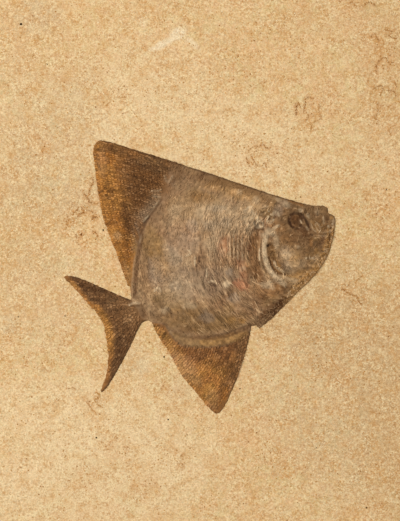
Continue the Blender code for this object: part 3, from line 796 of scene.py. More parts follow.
def stain_head_and_jaw(layers, x, y, body):
    """The darker head, and the beaded margin of the jaw and belly: pale on the jaw, dark behind it."""
    head = body * fade(x, 70, 95)
    layers["umber"] += head * (0.46 + 0.3 * mottle(x, y, 9, 52, 3))
    layers["olive"] += 0.45 * head
    margin = body * (1 - fade(distance_to(x, y, JAW_AND_BELLY), 6.5, 10.5)) * fade(x, 62, 72)
    jaw = fade(x, 84, 104)
    beads = mottle(x, y, 2.1, 51)
    layers["rise"] += margin * 0.45 * beads
    layers["umber"] *= 1 - 0.85 * margin * jaw
    layers["umber"] += 0.7 * margin * (1 - jaw)
    layers["ink"] += margin * 0.4 * fade(-beads, 0.1, 0.7)
    layers["gold"] += margin * (0.15 + 0.36 * jaw)
    layers["chalk"] += margin * (0.1 + 0.3 * jaw) * fade(beads, 0.1, 0.7)


def fibres_and_scales(x, y, body, body_depth, band):
    """The ground of the flank: fibres that circle the cheek, strongest in front, and scales between
    them. The fins have a fine grain. Real fibres are about 0.5 mm wide and are drawn 2 mm wide to show."""
    radius, turn = np.hypot(x - CHEEK[0], y - CHEEK[1]), np.arctan2(y - CHEEK[1], x - CHEEK[0])
    streaks = mottle(radius, turn * FIBRE_RADIUS * FIBRE_SHARE, 2.2, 60, 2)
    scales = mottle(x, y, 3.0, 70, 2)
    front = fade(x, -40, 25) * (1 - fade(x, 68, 76))
    flank = body * (0.25 + 0.75 * fade(body_depth, 2, 10)) * (1 - 0.6 * band)
    texture = flank * (streaks * (0.35 + 0.65 * front) + scales * (0.9 - 0.5 * front))
    return texture + 0.8 * (1 - body) * mottle(x, y, 2.4, 75, 2)


def heap_rubble(layers, x, y):
    """Knobs of broken bone, with a painted highlight on their tops and painted shade in the gaps between.
    """
    knobs = mottle(x, y, 3.0, 55, 2) * patch_mark(x, y, RUBBLE, (21, 12), 35, 56)
    layers["rise"] += 1.1 * knobs
    # painted highlight on the tops of the knobs, painted shade in the gaps between them
    layers["chalk"] += 0.95 * fade(knobs, 0.05, 0.4)
    layers["ink"] += 0.5 * fade(-knobs, 0.1, 0.45)


def draw_bone_marks(layers, x, y, body):
    """The drawn lines, then the patches of the body, then those of the fins."""
    for tint, strength, lift, width, edge, route in BONE_LINES:
        mark = line_mark(x, y, route, width, edge)
        layers[tint] = np.maximum(layers[tint], strength * mark)
        layers["rise"] += lift * mark
    for seed, (tint, strength, lift, middle, reach, turned) in enumerate(BONE_PATCHES, 100):
        mark = body * patch_mark(x, y, middle, reach, turned, seed)
        layers[tint] = marked(layers[tint], strength, mark)
        layers["rise"] += lift * mark
    for seed, (tint, strength, middle, reach, turned) in enumerate(FIN_PATCHES, 200):
        mark = (1 - body) * patch_mark(x, y, middle, reach, turned, seed)
        layers[tint] = marked(layers[tint], strength, mark)


def sculpt_fish(x, y):
    """The fish's relief above the slab's face, and how strongly each tint shows, at each point."""
    depth = np.clip(depth_inside(x, y, curved(FISH_OUTLINE, closed=True, step=2.5)), 0, None)
    body_depth = depth_inside(x, y, curved(BODY_OUTLINE, closed=True, step=2.5))
    wander = mottle(x, y, 13, 40, 3)
    clouds = fade(mottle(x, y, 10, 46, 3), -0.45, 0.45)
    flecks = fade(mottle(x, y, 4, 47, 2), 0.05, 0.55)
    body, dorsal, anal, tail = fish_parts(x, y, body_depth, wander)
    layers = {name: np.zeros(x.shape) for name in ("rise", *BONE_TINTS, "fin")}
    layers["rise"] += FIN_RISE * (1 - np.exp(-depth / 1.4))
    layers["rise"] += BODY_RISE * (1 - np.exp(-np.clip(body_depth, 0, None) / 7))
    stain_dorsal_fin(layers, x, y, dorsal, wander, clouds, flecks)
    stain_anal_fin(layers, x, y, anal, wander, clouds, flecks)
    stain_tail(layers, x, y, tail, wander, flecks)
    band = back_band(x, y, body, wander)
    layers["umber"] += 0.6 * band
    layers["rise"] += 0.35 * band
    stain_head_and_jaw(layers, x, y, body)
    texture = fibres_and_scales(x, y, body, body_depth, band)
    swells = 0.45 * mottle(x, y, 15, 48, 2) + 0.3 * mottle(x, y, 6, 49, 2)
    layers["rise"] += 0.3 * texture + body * swells
    heap_rubble(layers, x, y)
    draw_bone_marks(layers, x, y, body)

    # a dark line round the fish, wider along the back and missing where the fins fray: partly the bone's
    # dark margin, partly painted shade along the edge of the relief
    upper = fade(y, 35, 60) * (1 - fade(x, 112, 124))
    outlined = (1 - fade(depth, 0.4, 1.4 + 1.2 * upper)) * fade(from_trailing_edges(x, y), 2, 5)
    layers["ink"] += (0.25 + 0.35 * upper) * outlined
    layers["streak"] = texture
    rise = np.minimum(layers.pop("rise"), RISE_LIMIT)
    return rise, {name: np.clip(value, -1, 1) for name, value in layers.items()}


def ragged(points, seed):
    """An outline with a broken edge: frayed along the fins' trailing edges, finely nibbled elsewhere.
    The outline's points are 0.8 mm apart."""
    x, y = points.T
    frayed = from_trailing_edges(x, y) < 2
    along = np.arange(len(points)) * 0.8
    bite = np.where(frayed, 0.8, 0.5) * mottle(along, 0 * along, 2.2, seed, 2)
    run = np.roll(points, -1, axis=0) - np.roll(points, 1, axis=0)
    run /= np.hypot(*run.T)[:, None]
    return points + np.stack([run[:, 1], -run[:, 0]], axis=1) * bite[:, None]


def packed_points(outline, step, clear):
    """Points inside an outline in staggered rows, none nearer to it than clear. Rows stand 0.87 of a step
    apart, so that each point and its neighbours make even triangles."""
    low, high = outline.min(0), outline.max(0)
    x, y = np.meshgrid(np.arange(low[0], high[0], step), np.arange(low[1], high[1], step * 0.87))
    x[::2] += step / 2
    x, y = x.ravel(), y.ravel()
    inside = depth_inside(x, y, outline[::3]) > clear
    return np.stack([x[inside], y[inside]], axis=1)


def new_piece(name, mesh, material):
    """An object for a finished mesh, riding on the slab's one body."""
    piece = bpy.data.objects.new(name, mesh)
    bpy.context.scene.collection.objects.link(piece)
    if not mesh.materials:
        mesh.materials.append(material)
    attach(piece, "root")
    return piece


def store(mesh, values):
    """Keep one number a point under each of these names."""
    for name, value in values.items():
        layer = mesh.attributes.new(name, "FLOAT", "POINT")
        layer.data.foreach_set("value", value.astype(np.float32))


def plan_mesh(name, outline, inner):
    """A closed solid over a plan: a meshed top at height 1, a wall and a flat base at height 0. The
    outline's own points come first among the top's points, so the wall hangs from those."""
    corners = [Vector(point) for point in np.vstack([outline, inner])]
    rim = list(range(len(outline)))
    points, _, tops, *_ = delaunay_2d_cdt(corners, [], [rim], 1, 1e-4)
    places = [(*point, 1) for point in points] + [(*points[index], 0) for index in rim]
    feet = [len(points) + index for index in rim]
    walls = []
    for index in rim:
        following = (index + 1) % len(rim)
        walls.append((following, index, feet[index], feet[following]))
    mesh = bpy.data.meshes.new(name)
    mesh.from_pydata(places, [], [*tops, *walls, feet[::-1]])
    return mesh


def make_fish(face, material):
    """The fish: one thin, low relief bedded in the slab."""
    outline = ragged(curved(FISH_OUTLINE, closed=True, step=0.8), 5)
    mesh = plan_mesh("fossil_fish_relief", outline, packed_points(outline, FISH_STEP, RIM_CLEARANCE))
    places = np.zeros(len(mesh.vertices) * 3)
    mesh.vertices.foreach_get("co", places)
    x, y, top = places.reshape(-1, 3).T
    rise, tints = sculpt_fish(x, y)
    z = np.where(top > 0.5, face + rise, face - RIM_DIP)
    mesh.vertices.foreach_set("co", (np.stack([x, y, z], axis=1) * MM).ravel())
    store(mesh, tints)
    mesh.shade_smooth()
    piece = new_piece("fish_relief", mesh, material)
    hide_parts("fossil_fish")
    return piece


# ---- chips of bone: fin-ray joints, flank splinters and jaw beads ----


def chip_nodes():
    """Geometry Nodes: a low flat-topped chip on every point, sized and turned by the point's own values."""
    tree = bpy.data.node_groups.new("bone chips on points", "GeometryNodeTree")
    for name, kind in (("Geometry", "Geometry"), ("Sides", "Int"), ("Top", "Float"), ("Twist", "Float"),
                       ("Seed", "Int"), ("Material", "Material")):
        tree.interface.new_socket(name, in_out="INPUT", socket_type="NodeSocket" + kind)
    tree.interface.new_socket("Geometry", in_out="OUTPUT", socket_type="NodeSocketGeometry")
    entry = add(tree, "NodeGroupInput").outputs
    own = {}
    for name in ("turn", "length", "width", "height"):
        value = add(tree, "GeometryNodeInputNamedAttribute", {"Name": name}, data_type="FLOAT")
        own[name] = value.outputs["Attribute"]

    # the chip: a cone cut short, with one flat side ahead
    cone = add(tree, "GeometryNodeMeshCone", {
        "Vertices": entry["Sides"], "Radius Top": entry["Top"], "Radius Bottom": 0.5, "Depth": 1.0})
    half_side = add(tree, "ShaderNodeMath", {0: math.pi, 1: entry["Sides"]}, operation="DIVIDE")
    flat_ahead = add(tree, "ShaderNodeCombineXYZ", {"Z": half_side.outputs[0]})
    chip = add(tree, "GeometryNodeTransform", {
        "Geometry": cone.outputs["Mesh"], "Rotation": flat_ahead.outputs[0]})

    # each chip's turn, a little off true, and its size
    stray = add(tree, "FunctionNodeRandomValue", {2: -1.0, 3: 1.0, "Seed": entry["Seed"]},
                data_type="FLOAT")
    turn = add(tree, "ShaderNodeMath", {0: stray.outputs[1], 1: entry["Twist"], 2: own["turn"]},
               operation="MULTIPLY_ADD")
    rotation = add(tree, "ShaderNodeCombineXYZ", {"Z": turn.outputs[0]})
    scale = add(tree, "ShaderNodeCombineXYZ", {"X": own["length"], "Y": own["width"], "Z": own["height"]})
    chips = add(tree, "GeometryNodeInstanceOnPoints", {
        "Points": entry["Geometry"], "Instance": chip.outputs[0], "Rotation": rotation.outputs[0],
        "Scale": scale.outputs[0]})
    solid = add(tree, "GeometryNodeRealizeInstances", {"Geometry": chips.outputs[0]})
    painted = add(tree, "GeometryNodeSetMaterial", {
        "Geometry": solid.outputs[0], "Material": entry["Material"]})
    add(tree, "NodeGroupOutput", {0: painted.outputs[0]})
    return tree


def lay_chips(name, chips, floor, paint, twist, seed, sides, top, material):
    """Bake chips onto a floor of these heights, each sunk 0.38 of its own height. Each row of chips starts
    x, y, turn, length, width, height; paint is what their material reads."""
    x, y, turn, length, width, height = chips.T[:6]
    places = np.stack([x, y, floor + 0.12 * height], axis=1) * MM
    cloud = bpy.data.meshes.new(name + "_places")
    cloud.from_pydata(places.tolist(), [], [])
    store(cloud, {"turn": turn, "length": length * MM, "width": width * MM, "height": height * MM, **paint})
    maker = bpy.data.objects.new(name + "_places", cloud)
    bpy.context.scene.collection.objects.link(maker)
    tree = chip_nodes()
    modifier = maker.modifiers.new("chips", "NODES")
    modifier.node_group = tree
    sockets = {item.name: item.identifier for item in tree.interface.items_tree if item.in_out == "INPUT"}
    inputs = {"Sides": sides, "Top": top, "Twist": twist, "Seed": seed, "Material": material}
    for socket_name, value in inputs.items():
        modifier[sockets[socket_name]] = value
    graph = bpy.context.evaluated_depsgraph_get()
    baked = maker.evaluated_get(graph)
    mesh = bpy.data.meshes.new_from_object(baked, preserve_all_data_layers=True, depsgraph=graph)
    bpy.data.objects.remove(maker)
    mesh.name = name
    return new_piece(name, mesh, material)


def lay_bone(name, face, chips, twist, seed, sides, top, material):
    """Bake chips of bone onto the fish, tinted as the fish is where they lie. A row ends with its own
    shade, its streak."""
    rise, tints = sculpt_fish(chips[:, 0], chips[:, 1])
    tints["streak"] = chips[:, 6]
    del tints["fin"]
    return lay_chips(name, chips, face + rise, tints, twist, seed, sides, top, material)


def spaced(knots, count):
    """This many evenly spaced points along a curve."""
    points = curved(knots, step=0.5)
    along = np.concatenate([[0], np.cumsum(np.hypot(*np.diff(points, axis=0).T))])
    places = np.linspace(0, along[-1], count)
    return np.stack([np.interp(places, along, points[:, axis]) for axis in (0, 1)], axis=1)


def ray_joints(base, trailing, count, bare, bulges, seed):
    """The joints of a fin's rays, counted in from the trailing edge. The rays stop short of the base by
    the lengths in bare, spread evenly from the first ray to the last. The first and the last ray bulge
    sideways by these amounts, the ones between in proportion. Where rays crowd together, two or four
    share one joint. A ray is paler or darker as a whole, and in stretches along its length."""
    draws = np.random.default_rng(seed)
    feet, tips = spaced(base, count + 1), spaced(trailing, count + 1)
    joints = []
    for index in range(count):
        run, next_run = feet[index] - tips[index], feet[index + 1] - tips[index + 1]
        length = math.hypot(*run)
        bulge = bulges[0] + (bulges[1] - bulges[0]) * index / (count - 1)
        side = np.array([-run[1], run[0]]) / length
        stop = length - np.interp(index / (count - 1), np.linspace(0, 1, len(bare)), bare)
        ray_tone = draws.normal(0, 0.2)
        for distance in np.arange(draws.uniform(1.2, 1.8), stop, JOINT_STEP):
            share = distance / length
            beside = tips[index + 1] + next_run * share - tips[index] - run * share
            place = tips[index] + run * share + side * bulge * math.sin(math.pi * share)
            gap = abs(run[0] * beside[1] - run[1] * beside[0]) / length
            merged = 1 if gap > 2.0 else 2 if gap > 1.0 else 4
            if index % merged or gap < 0.3:
                continue
            turn = math.atan2(run[1], run[0]) + math.pi * bulge * math.cos(math.pi * share) / length
            along_ray = mottle(np.array([distance]), np.array([9.0 * index]), 9, seed + 700, 2)[0]
            streak = np.clip(draws.normal(0.0, 0.34) + ray_tone + 0.8 * along_ray, -0.95, 0.54)
            place = place + draws.normal(0, 0.35, 2)
            turn += draws.normal(0, 0.22)
            joint_length = JOINT_STEP * draws.uniform(0.8, 1.6)
            width = gap * merged * draws.uniform(0.85, 1.3)
            joints.append((*place, turn, joint_length, width, draws.uniform(0.45, 0.75), streak))
    return joints


def flank_splinters():
    """Broken ribs, scales and bone splinters, mostly lying along circles about the cheek. They are
    longest behind the shoulder, loosest on the head, and the eye is free of them."""
    draws = np.random.default_rng(8)
    outline = curved(BODY_OUTLINE, closed=True, step=2.0)
    x, y = packed_points(outline, SPLINTER_STEP, 0.0).T
    x, y = x + draws.uniform(-1.2, 1.2, len(x)), y + draws.uniform(-1.2, 1.2, len(x))
    depth = depth_inside(x, y, outline)
    density = 0.4 + 0.5 * fade(mottle(x, y, 17, 91, 2), -0.4, 0.3)
    keep = (depth > 1.4) & (draws.uniform(0, 1, len(x)) < density)
    keep &= np.hypot(x - EYE[0], y - EYE[1]) > EYE_CLEARANCE
    x, y, depth = x[keep], y[keep], depth[keep]
    count = len(x)
    front = fade(x, -15, 20) * (1 - fade(x, 60, 68)) * (1 - fade(y, 40, 55))
    loose = 0.18 + (0.5 - 0.35 * front) * fade(mottle(x, y, 22, 92), -0.3, 0.5) + 0.9 * fade(x, 72, 84)
    across = np.arctan2(y - CHEEK[1], x - CHEEK[0]) + math.pi / 2
    turn = across + draws.normal(0, 1, count) * loose
    length = draws.uniform(2.4, 5.4, count) * np.where(draws.uniform(0, 1, count) < 0.2, 1.8, 1.0)
    length = np.minimum(length * (1 + 0.9 * front), 2 * depth)
    width = draws.uniform(0.7, 1.35, count)
    height = draws.uniform(0.5, 1.0, count) * (0.65 + 0.35 * front)

    # three in ten are pale and bright, the rest vary about the colour of the bone under them
    bright = draws.uniform(0, 1, count) < 0.3
    streak = np.where(bright, draws.normal(0.7, 0.25, count), draws.normal(-0.06, 0.32, count))
    streak = np.clip(streak, -1, 1) * (0.55 + 0.35 * fade(x, -40, 20) - 0.25 * fade(x, 95, 115))
    return np.stack([x, y, turn, length, width, height, streak], axis=1)


def jaw_beads():
    """Rows of bead-like scutes along the jaw and the belly."""
    draws = np.random.default_rng(9)
    beads = []
    for row, depth in enumerate(SCUTE_ROWS):
        margin = spaced(JAW_AND_BELLY, SCUTES_A_ROW - 5 * row)
        run = np.gradient(margin, axis=0)
        run /= np.hypot(*run.T)[:, None]
        inward = np.stack([run[:, 1], -run[:, 0]], axis=1)
        for place, along in zip(margin + inward * depth, run):
            place = place + draws.normal(0, 0.25, 2)
            size = draws.uniform(1.5, 2.1)
            turn = math.atan2(along[1], along[0])
            beads.append((*place, turn, size, size * 0.9, 0.9, draws.uniform(-0.4, 0.7)))
    return beads


def make_chips(face, material):
    """The three kinds of chips on the fish, each with its own number of sides and bevel."""
    joints = np.array([joint for fin in FIN_RAYS for joint in ray_joints(*fin)])
    outline = curved(FISH_OUTLINE, closed=True, step=2.0)
    joints = joints[depth_inside(joints[:, 0], joints[:, 1], outline) > 0.8]
    lay_bone("fin_ray_joints", face, joints, 0.12, 4, 4, 0.36, material)
    lay_bone("flank_splinters", face, flank_splinters(), 0.1, 5, 6, 0.3, material)
    lay_bone("jaw_beads", face, np.array(jaw_beads()), 0.3, 6, 8, 0.28, material)


# ---- the slab ----


def slab_rim(node):
    """The slab's plan outline, anticlockwise, in millimetres: the foot of the CAD's walls."""
    places = np.array([vertex.co for vertex in node.data.vertices]) / MM
    heights = np.unique(places[:, 2].round(2))
    foot = places[np.abs(places[:, 2] - heights[heights > 0.1].min()) < 0.02][:, :2]
    foot = np.unique(foot.round(2), axis=0)
    return foot[np.argsort(np.arctan2(foot[:, 1], foot[:, 0]))]


def side_inset(rim, axis, sign, half, along):
    """How far one side of the rim stands inside the full rectangle, at each place along it."""
    other = 1 - axis
    corner = np.abs(rim[:, other]) / np.abs(rim[:, other]).max() < np.abs(rim[:, axis]) / half + 1e-6
    side = rim[(np.sign(rim[:, axis]) == sign) & (np.abs(rim[:, axis]) > half - 12) & corner]
    side = side[np.argsort(side[:, other])]
    return np.interp(along, side[:, other], half - np.abs(side[:, axis]))


def bedding_levels(thickness):
    """The edges of each bed in the broken walls, as shares of the slab's thickness, top first."""
    draws = np.random.default_rng(21)
    heights = [0.0]
    while heights[-1] < thickness - 1.5 * BED_THICKNESS:
        heights.append(heights[-1] + BED_THICKNESS * draws.uniform(0.5, 1.6))
    return 1 - np.array(heights + [thickness]) / thickness


def face_height(x, y, from_rim):
    """The split bedding plane's height above or below the slab's nominal face, spalled along the rim."""
    uneven = (0.55 * mottle(x, y, 130, 11) + 0.22 * mottle(x, y, 38, 12, 2) + 0.10 * mottle(x, y, 9, 14, 2)
              + 0.07 * mottle(x, y, 3.5, 15))
    spall = fade(mottle(x, y, 17, 31, 2), 0.05, 0.75)
    worn = 3.4 * spall * (1 - fade(from_rim, 1.5, 9)) + 0.9 * (1 - fade(from_rim, 0, 4))
    return uneven * fade(from_rim, -4, 30) - 0.25 - worn


def face_grid(rim, half):
    """The face's grid of points, in rows, with its outermost strip bent in to the trimmed rim."""
    columns, rows = (int(size * 2 / FACE_STEP) + 1 for size in half)
    x, y = np.meshgrid(np.linspace(-half[0], half[0], columns), np.linspace(-half[1], half[1], rows))
    shift_x, shift_y = 0, 0
    for sign in (-1, 1):
        near_x = fade(sign * x, half[0] - RIM_STRIP, half[0])
        near_y = fade(sign * y, half[1] - RIM_STRIP, half[1])
        shift_x = shift_x - sign * side_inset(rim, 0, sign, half[0], y) * near_x
        shift_y = shift_y - sign * side_inset(rim, 1, sign, half[1], x) * near_y
    return x + shift_x, y + shift_y


def around(rows, columns):
    """The places of a grid's outermost points in it, anticlockwise from the lower left corner."""
    return np.concatenate([
        np.arange(columns), np.arange(1, rows) * columns + columns - 1,
        (rows - 1) * columns + np.arange(columns - 2, -1, -1), np.arange(rows - 2, 0, -1) * columns])


def wall_rings(edge, thickness):
    """Rings of points down the broken walls to the foot. Each bed stands back by its own ragged amount."""
    run = np.roll(edge, -1, axis=0) - np.roll(edge, 1, axis=0)
    inward = np.stack([-run[:, 1], run[:, 0]], axis=1) / np.hypot(run[:, 0], run[:, 1])[:, None]
    along = np.cumsum(np.hypot(*(edge - np.roll(edge, 1, axis=0))[:, :2].T))
    rings = []
    levels = bedding_levels(thickness)
    for bed, (upper, lower) in enumerate(zip(levels, levels[1:])):
        broken = mottle(along, 0 * along + 40 * bed, 26, 300, 2)
        chipped = mottle(along, 0 * along + 40 * bed, 5, 340, 2)
        inset = np.clip(WALL_INSET + 2.2 * broken + 0.8 * chipped, 0.1, None)
        for share in (upper - 0.012, lower + 0.012):
            rings.append(np.column_stack([edge[:, :2] + inward * inset[:, None], edge[:, 2] * share]))
    rings.append(np.column_stack([edge[:, :2] + inward * 1.2, 0 * along]))
    return rings


def slab_faces(rows, columns, loop, ring_count):
    """Quads over the face and down the walls, and one face for the flat underside."""
    index = np.arange(rows * columns).reshape(rows, columns)
    corners = [index[:-1, :-1], index[:-1, 1:], index[1:, 1:], index[1:, :-1]]
    quads = [np.stack(corners, axis=-1).reshape(-1, 4)]
    upper = loop
    for level in range(ring_count):
        lower = rows * columns + level * len(loop) + np.arange(len(loop))
        quads.append(np.stack([np.roll(upper, -1), upper, lower, np.roll(lower, -1)], axis=1))
        upper = lower
    return np.vstack(quads).tolist() + [upper[::-1].tolist()]


def make_slab(node):
    """The slab: a split face, broken walls that show the bedding, and a flat underside."""
    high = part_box("limestone_slab")[1]
    half, top = np.array([high.x, high.y]) / MM, high.z / MM
    x, y = face_grid(slab_rim(node), half)
    from_rim = np.minimum(half[0] - np.abs(x), half[1] - np.abs(y))
    z = top + face_height(x, y, from_rim)
    sunk = depth_inside(x, y, curved(FISH_OUTLINE, closed=True, step=4))
    z -= FISH_BED_DEPTH * fade(sunk, 3, 6)

    face_points = np.stack([x.ravel(), y.ravel(), z.ravel()], axis=1)
    loop = around(*x.shape)
    rings = wall_rings(face_points[loop], top)
    points = np.vstack([face_points] + rings)
    mesh = bpy.data.meshes.new("limestone_slab_surface")
    mesh.from_pydata((points * MM).tolist(), [], slab_faces(*x.shape, loop, len(rings)))
    wall = np.concatenate([1 - fade(from_rim.ravel(), -2, 4), np.ones(len(loop) * len(rings))])
    store(mesh, {"wall": wall, **face_marks(points[:, 0], points[:, 1])})
    mesh.shade_smooth()
    mesh.set_sharp_from_angle(angle=math.radians(35))
    piece = new_piece("slab_of_rock", mesh, limestone())
    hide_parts("limestone_slab")
    return piece


# Ragged patches on the slab's face: mask, strength, middle, half-lengths, turn in degrees. A patch's
# place in the list seeds its ragged edge. The broad dusk patches along the right edge and the broad pale
# one at the lower left are partly painted shade and painted light: they darken the face towards the
# right, as the key light falls off.
FACE_PATCHES = [
    ("calcite", 1.0, (-24, 250), (11, 9), 20), ("calcite", 1.0, (-40, 238.5), (21, 4.4), 27),
    ("calcite", 0.7, (-8, 239), (14, 3.4), -42), ("calcite", 0.5, (-64, 262), (4, 8), 20),
    ("iron", 0.3, (-205, -82), (11, 13), 0), ("iron", 0.8, (-128, 23), (10, 9), 0),
    ("iron", 0.7, (-22, -220), (16, 10), 0), ("iron", 0.7, (-154, -82), (10, 10), 0),
    ("iron", 0.6, (-96, 180), (26, 14), 10), ("iron", 0.6, (40, 210), (30, 18), 0),
    ("iron", 0.6, (150, -120), (26, 22), 0), ("iron", 0.5, (-60, -250), (26, 16), 0),
    ("iron", 0.5, (90, -230), (34, 18), 0), ("iron", 0.5, (-180, 130), (20, 26), 0),
    ("iron", 0.5, (190, 60), (22, 30), 0), ("iron", 0.8, (-143, 46), (13, 13), 0),
    ("iron", 0.45, (-120, 64), (13, 24), 15), ("iron", 0.5, (204, 222), (18, 44), 0),
    ("iron", 0.5, (168, -32), (20, 14), 0), ("iron", 0.6, (-114, -156), (16, 16), 0),
    ("iron", 0.6, (-40, -80), (12, 9), -40), ("iron", 0.6, (-150, -290), (12, 12), 0),
    ("iron", 0.5, (117, 162), (14, 20), 0), ("iron", 0.5, (62, 114), (16, 14), 0),
    ("dusk", 0.9, (215, -150), (60, 190), 0), ("dusk", 0.45, (215, 200), (50, 110), 0),
    ("dusk", 0.6, (-212, 40), (60, 100), 0), ("dusk", 0.95, (136, -70), (52, 70), 0),
    ("dusk", 0.45, (130, -190), (40, 60), 0), ("dusk", 0.95, (86, -66), (36, 17), 45),
    ("dusk", 0.4, (-190, 240), (60, 60), 0), ("pale", 0.9, (-110, -205), (150, 95), 0),
    ("pale", 0.8, (-20, 165), (150, 45), -17), ("pale", 0.5, (120, 110), (60, 40), -20),
    ("pale", 0.4, (-50, 210), (60, 50), 0), ("pale", 1.0, (-98, 148), (34, 24), 0),
    ("pale", 0.85, (46, 110), (75, 20), -17), ("pale", 0.9, (-195, -245), (50, 55), 0),
    ("ash", 0.8, (-165, 120), (75, 100), 0), ("ash", 0.5, (-165, -40), (60, 80), 0),
    ("ash", 0.5, (140, -130), (100, 150), 0), ("ash", 0.8, (-74, -112), (22, 20), 0),
    ("ash", 0.8, (-180, 268), (30, 24), 0), ("ash", 0.4, (134, -78), (32, 26), 0),
    ("pale", 0.9, (-10, 113), (34, 12), -17), ("pale", 0.7, (-66, -112), (14, 18), 0),
    ("dusk", 0.6, (-165, 55), (48, 26), 0), ("dusk", 0.6, (170, -8), (28, 26), 0),
    ("iron", 0.6, (-120, -238), (11, 15), 0), ("iron", 0.6, (-94, -205), (14, 15), 0),
    ("iron", 0.45, (-20, 182), (26, 22), 0), ("iron", 0.5, (70, 128), (24, 13), 0),
    ("dusk", 1.0, (130, -70), (36, 26), 0), ("ash", 0.8, (-209, -74), (16, 18), 0),
    ("iron", 0.8, (-127, -239), (18, 16), 0), ("iron", 0.7, (-94, -205), (15, 16), 0),
    ("pale", 0.5, (192, 120), (30, 60), 0), ("pale", 0.45, (0, 205), (42, 18), 0),
    ("pale", 0.6, (95, 163), (46, 10), 0), ("pale", 1.0, (106, 118), (11, 34), 0),
    ("pale", 0.8, (-215, -71), (14, 14), 0), ("pale", 0.5, (-77, -110), (10, 9), 0),
    ("iron", 0.35, (203, 150), (18, 60), 0), ("dusk", 0.5, (180, -236), (30, 24), 0),
    ("dusk", 0.4, (-165, -15), (16, 14), 0), ("ash", 0.6, (-20, -142), (22, 16), -45),
    ("iron", 0.4, (66, 118), (32, 10), -17), ("iron", 0.8, (178, -50), (14, 34), 0),
    ("iron", 1.0, (-27, -214), (14, 9), 0), ("iron", 0.7, (187, -231), (13, 13), 0),
    ("pale", 0.9, (-215, -192), (9, 20), 0), ("iron", 0.9, (-114, 72), (6, 22), 12),
    ("iron", 0.9, (-113, -151), (10, 10), 0), ("iron", 0.5, (126, -78), (20, 18), 0),
    ("dusk", 0.6, (180, -42), (18, 30), 0), ("dusk", 0.5, (173, -218), (20, 24), 0),
    ("dusk", 0.5, (-120, 58), (8, 14), 0), ("dusk", 0.4, (-182, 82), (12, 10), 0),
    ("ash", 0.6, (-212, 60), (22, 26), 0), ("ash", 0.55, (-200, 160), (36, 110), 0),
    ("ash", 0.5, (-200, -30), (36, 60), 0), ("iron", 0.6, (-149, -84), (9, 9), 0),
    ("iron", 0.5, (-121, 198), (22, 11), 0), ("dusk", 0.5, (-121, 198), (20, 9), 0),
    ("pale", 1.0, (-24, 114), (17, 5), -18), ("iron", 0.4, (196, 130), (22, 40), 0),
    ("dusk", 0.3, (130, 264), (60, 18), 0), ("dusk", 0.5, (190, 277), (26, 13), 0),
    ("dusk", 0.4, (-158, -5), (10, 8), 0),
]

# Spots of manganese oxide on the face: place and width.
MANGANESE_SPOTS = [
    (-197, 260, 3.2), (-39.5, -106, 2.4), (-35, -175, 2.0), (-200, -62, 1.6), (-114, -195, 2.4),
    (-148.5, -61, 1.6), (-168, 216, 1.6), (44, -141, 1.8), (-106.5, 33.5, 2.2), (183, -272, 2.0),
    (205, 78, 1.8), (128, -206, 1.5),
]

